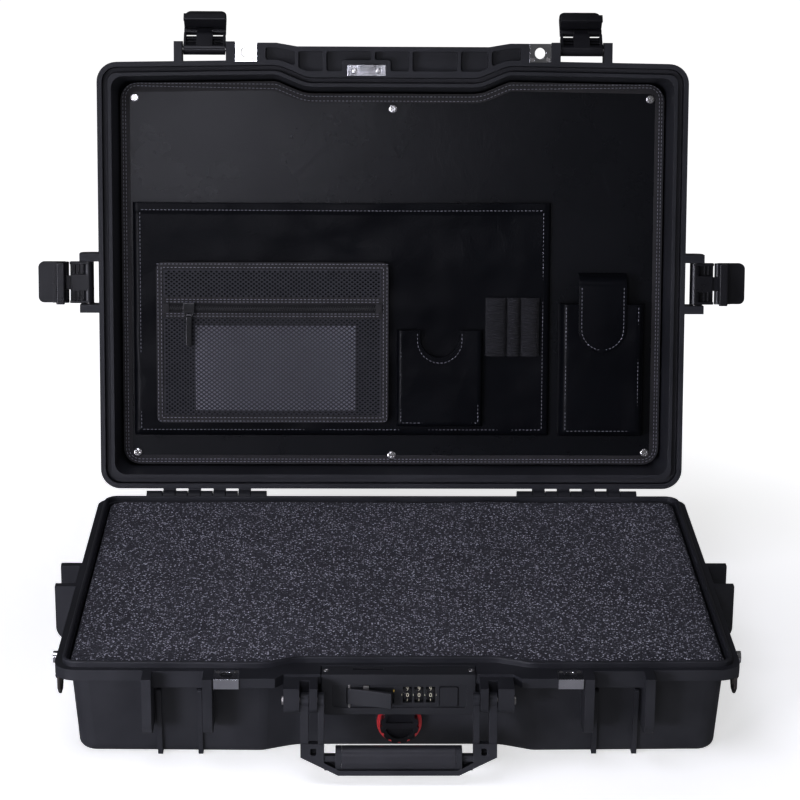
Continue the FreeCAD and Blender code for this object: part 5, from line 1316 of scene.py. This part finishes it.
# Phone pocket with its lifting flap
phoneLook = {
    "cells": (36, 50), "cloth": 1.6, "roll": 5.5, "crease": 36, "stretch": 1.0, "depth": 1.0, "seed": 31,
    "sag": 0.6, "sagReach": 40, "ground": 1.7, "hem": 0.0, "hemWide": 4.0,
}
phoneSeam = {"side": 4.5, "top": 2, "foot": 5, "up": 4.5, "ends": 5, "deep": 0.8}
flapLook = {
    "cells": (22, 60), "cloth": 1.5, "rise": 11, "lift": 0.5, "crown": 0.7, "tip": 3.5, "root": 1,
    "pitch": 22, "seed": 14, "swell": 0.3, "rootReach": 12, "round": 0.45,
}
flapSeam = {"inset": 2.4, "out": 0.25, "crown": 0.2, "arcStart": 195, "arcPoints": 11}


def makePhonePocket():
    piece = pocketSheet("phonePocket", "pocketLeather", "phone_pocket", phoneLook)
    closeSheet(piece, phoneLook["cloth"])
    settle(piece, panelSpace, "lid")
    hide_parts("phone_pocket")
    out = panelDepth("phone_pocket")[1] - phoneSeam["deep"]
    sewSeams("phoneSeams", pocketRows("phone_pocket", phoneSeam, [out, out, out]))


# The flap leaves the board above the pocket, bends over its mouth and lies on its face
def flapOut(y, back, front, high):
    share = min(max((high - y) / flapLook["rise"], 0), 1)
    return back + (front - back) * math.sqrt(max(1 - (1 - share) ** 2, 0))


def makeFlap():
    left, right, low, high = panelArea("phone_flap")
    back, front = panelDepth("phone_flap")
    middle, half = (left + right) / 2, (right - left) / 2
    face = front - flapLook["crown"] - flapLook["lift"]

    def place(shareX, shareY):
        across = (shareX - 0.5) * 2
        y = high - (high - low) * math.sin(math.pi / 2 * (1 - shareY))
        end = max(low + half - y, 0) / half
        x = middle + across * max(half * math.sqrt(max(1 - end * end, 0)), flapLook["tip"])
        swell = wave(x, y, flapLook["pitch"], flapLook["seed"]) * flapLook["swell"]
        bow = flapLook["crown"] * (1 - across * across) + swell
        bow *= min((high - y) / flapLook["rootReach"], 1)
        return x, y, flapOut(y, back + flapLook["root"], face, high) + bow

    flap = makeSheet("phoneFlap", "pocketLeather", flapLook["cells"], place)
    applyModifier(flap, "SOLIDIFY", thickness=flapLook["cloth"], offset=-1.0)
    applyModifier(flap, "BEVEL", width=flapLook["round"], segments=2, limit_method="ANGLE")
    smooth(flap, 50)
    settle(flap, panelSpace, "phone_flap")
    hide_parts("phone_flap")
    bend, top, out = half - flapSeam["inset"], high - flapLook["rise"], face + flapSeam["out"]
    start, points = flapSeam["arcStart"], flapSeam["arcPoints"]
    path = [(middle - bend, top, out), (middle - bend, low + half, out)]
    path += arc(middle, low + half, bend, start, points, out + flapSeam["crown"])
    path += [(middle + bend, low + half, out), (middle + bend, top, out)]
    sewSeams("flapSeam", [path], body="phone_flap")


makePhonePocket()
makeFlap()
print("phone pocket made")


# Seams of the webbing round the board and of the net pocket
def sewWebbing():
    out = panelDepth("organizer_binding")[1] + bindingLook["stitchOut"]
    sewSeams("bindingSeams", [boardOutline(inset, out) for inset in bindingLook["rows"]])
    left, right, low, high = panelArea("mesh_pocket_frame")
    out = panelDepth("mesh_pocket_frame")[1] + frameLook["stitchOut"]
    rows = []
    for inset in frameLook["rows"]:
        corners = ((left + inset, low + inset), (right - inset, low + inset), (right - inset, high - inset))
        corners += ((left + inset, high - inset), (left + inset, low + inset))
        rows.append([(x, y, out) for x, y in corners])
    tapeLow, tapeHigh = panelArea("zipper_tape")[2:]
    ends = frameLook["tapeEnds"]
    for away in frameLook["tapeRows"]:
        for y in (tapeHigh + away, tapeLow - away):
            rows.append([(left + ends, y, out), (right - ends, y, out)])
    sewSeams("netPocketSeams", rows)


sewWebbing()
print("webbing sewn")


# Domed screws with a cross recess; without a face of its own, a head sits on top of its CAD screw
screwLook = {
    "organizer_screws": {"radius": 3.9, "height": 2.2, "face": 2.2, "space": panelSpace, "body": "lid"},
    "keeper_screws": {"radius": 2.5, "height": 1.2, "face": 23.0, "space": panelSpace, "body": "lid"},
    "lock_screws": {"radius": 2.5, "height": 1.2, "face": None, "space": worldSpace, "body": "base"},
}
crossLook = {"dome": 0.75, "angles": (20, 110), "long": 1.15, "wide": 0.22, "turn": 0.7}


def crossHead(name, radius, height):
    free()
    under = (0, 0, -height / 2)
    bpy.ops.mesh.primitive_cylinder_add(vertices=40, radius=radius, depth=height, location=under)
    head = begin(name, "screwSteel")
    dome = height * crossLook["dome"]
    applyModifier(head, "BEVEL", width=dome, segments=5, limit_method="ANGLE", profile=0.5)
    for angle in crossLook["angles"]:
        turn = Matrix.Rotation(math.radians(angle), 4, "Z")
        bar = (radius * crossLook["long"], radius * crossLook["wide"], height)
        cutter = makeBlock("crossCutter", "screwSteel", turn, bar)
        applyModifier(head, "BOOLEAN", object=cutter, operation="DIFFERENCE")
        bpy.data.objects.remove(cutter)
    return head


def makeScrews():
    for nodeName, look in screwLook.items():
        pattern = crossHead(nodeName + "Pattern", look["radius"], look["height"])
        heads = []
        for x, y, top in looseSpots(nodeName, look["space"]):
            place = Matrix.Translation((x, y, look["face"] or top))
            turn = Matrix.Rotation(x * crossLook["turn"] + y, 4, "Z")
            heads.append(placeCopy(pattern, nodeName, place @ turn))
        joined = joinPieces(heads, nodeName.replace("_", " ").title().replace(" ", "") + "Heads")
        smooth(joined, 35)
        settle(joined, look["space"], look["body"])
        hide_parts(nodeName)
        bpy.data.objects.remove(pattern)


makeScrews()
print("screws made")


# Numbers round the dials, the pointer marks beside them and the mark of the lock's state
dialLook = {"digit": 4.4, "raise": 0.04}
markLook = {
    "deep": 0.7, "size": (0.45, 0.16, 1.5), "round": 0.05, "stateAcross": -3.4, "stateUp": 3.2,
    "stateSize": (0.9, 0.16, 1.6),
}


def makeDigits():
    for number in range(3):
        dial = "lock_dial_" + str(number + 1)
        low, high = [Vector(corner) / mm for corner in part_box(dial)]
        middle = (low + high) / 2
        radius = (high.z - low.z) / 2
        upright = Matrix.Translation((0, -radius, 0)) @ Matrix.Rotation(math.radians(90), 4, "X")
        digits = []
        for digit in range(10):
            free()
            bpy.ops.object.text_add()
            text = bpy.context.object.data
            text.body = str(digit)
            text.size = dialLook["digit"]
            text.extrude = dialLook["raise"]
            text.align_x = "CENTER"
            text.align_y = "CENTER"
            bpy.ops.object.convert(target="MESH")
            piece = begin(dial + "Digit", "creamPaint")
            piece.data.transform(Matrix.Rotation(math.radians(digit * 36), 4, "X") @ upright)
            piece.data.transform(Matrix.Translation(middle))
            digits.append(piece)
        joined = joinPieces(digits, "dialNumbers" + str(number + 1))
        settle(joined, worldSpace, dial)


def makeMark(name, finish, place, size):
    mark = makeBlock(name, finish, Matrix.Translation(place), size)
    applyModifier(mark, "BEVEL", width=markLook["round"], segments=2)
    settle(mark, worldSpace, "base")


def makeMarks():
    low, high = [Vector(corner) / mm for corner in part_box("lock_dial_1")]
    face = Vector(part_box("lock_dial_1")[0]).y / mm + markLook["deep"]
    middleX, middleZ = (low.x + high.x) / 2, (low.z + high.z) / 2
    pitch = (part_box("lock_dial_2")[0][0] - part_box("lock_dial_1")[0][0]) / mm
    for number in range(4):
        place = (middleX + (number - 0.5) * pitch, face, middleZ)
        makeMark("pointerMark" + str(number + 1), "creamPaint", place, markLook["size"])
    place = (markLook["stateAcross"], face, middleZ + markLook["stateUp"])
    makeMark("lockStateMark", "yellowPaint", place, markLook["stateSize"])


makeDigits()
makeMarks()
print("dial numbers made")

bpy.data.objects.remove(stitchPattern)
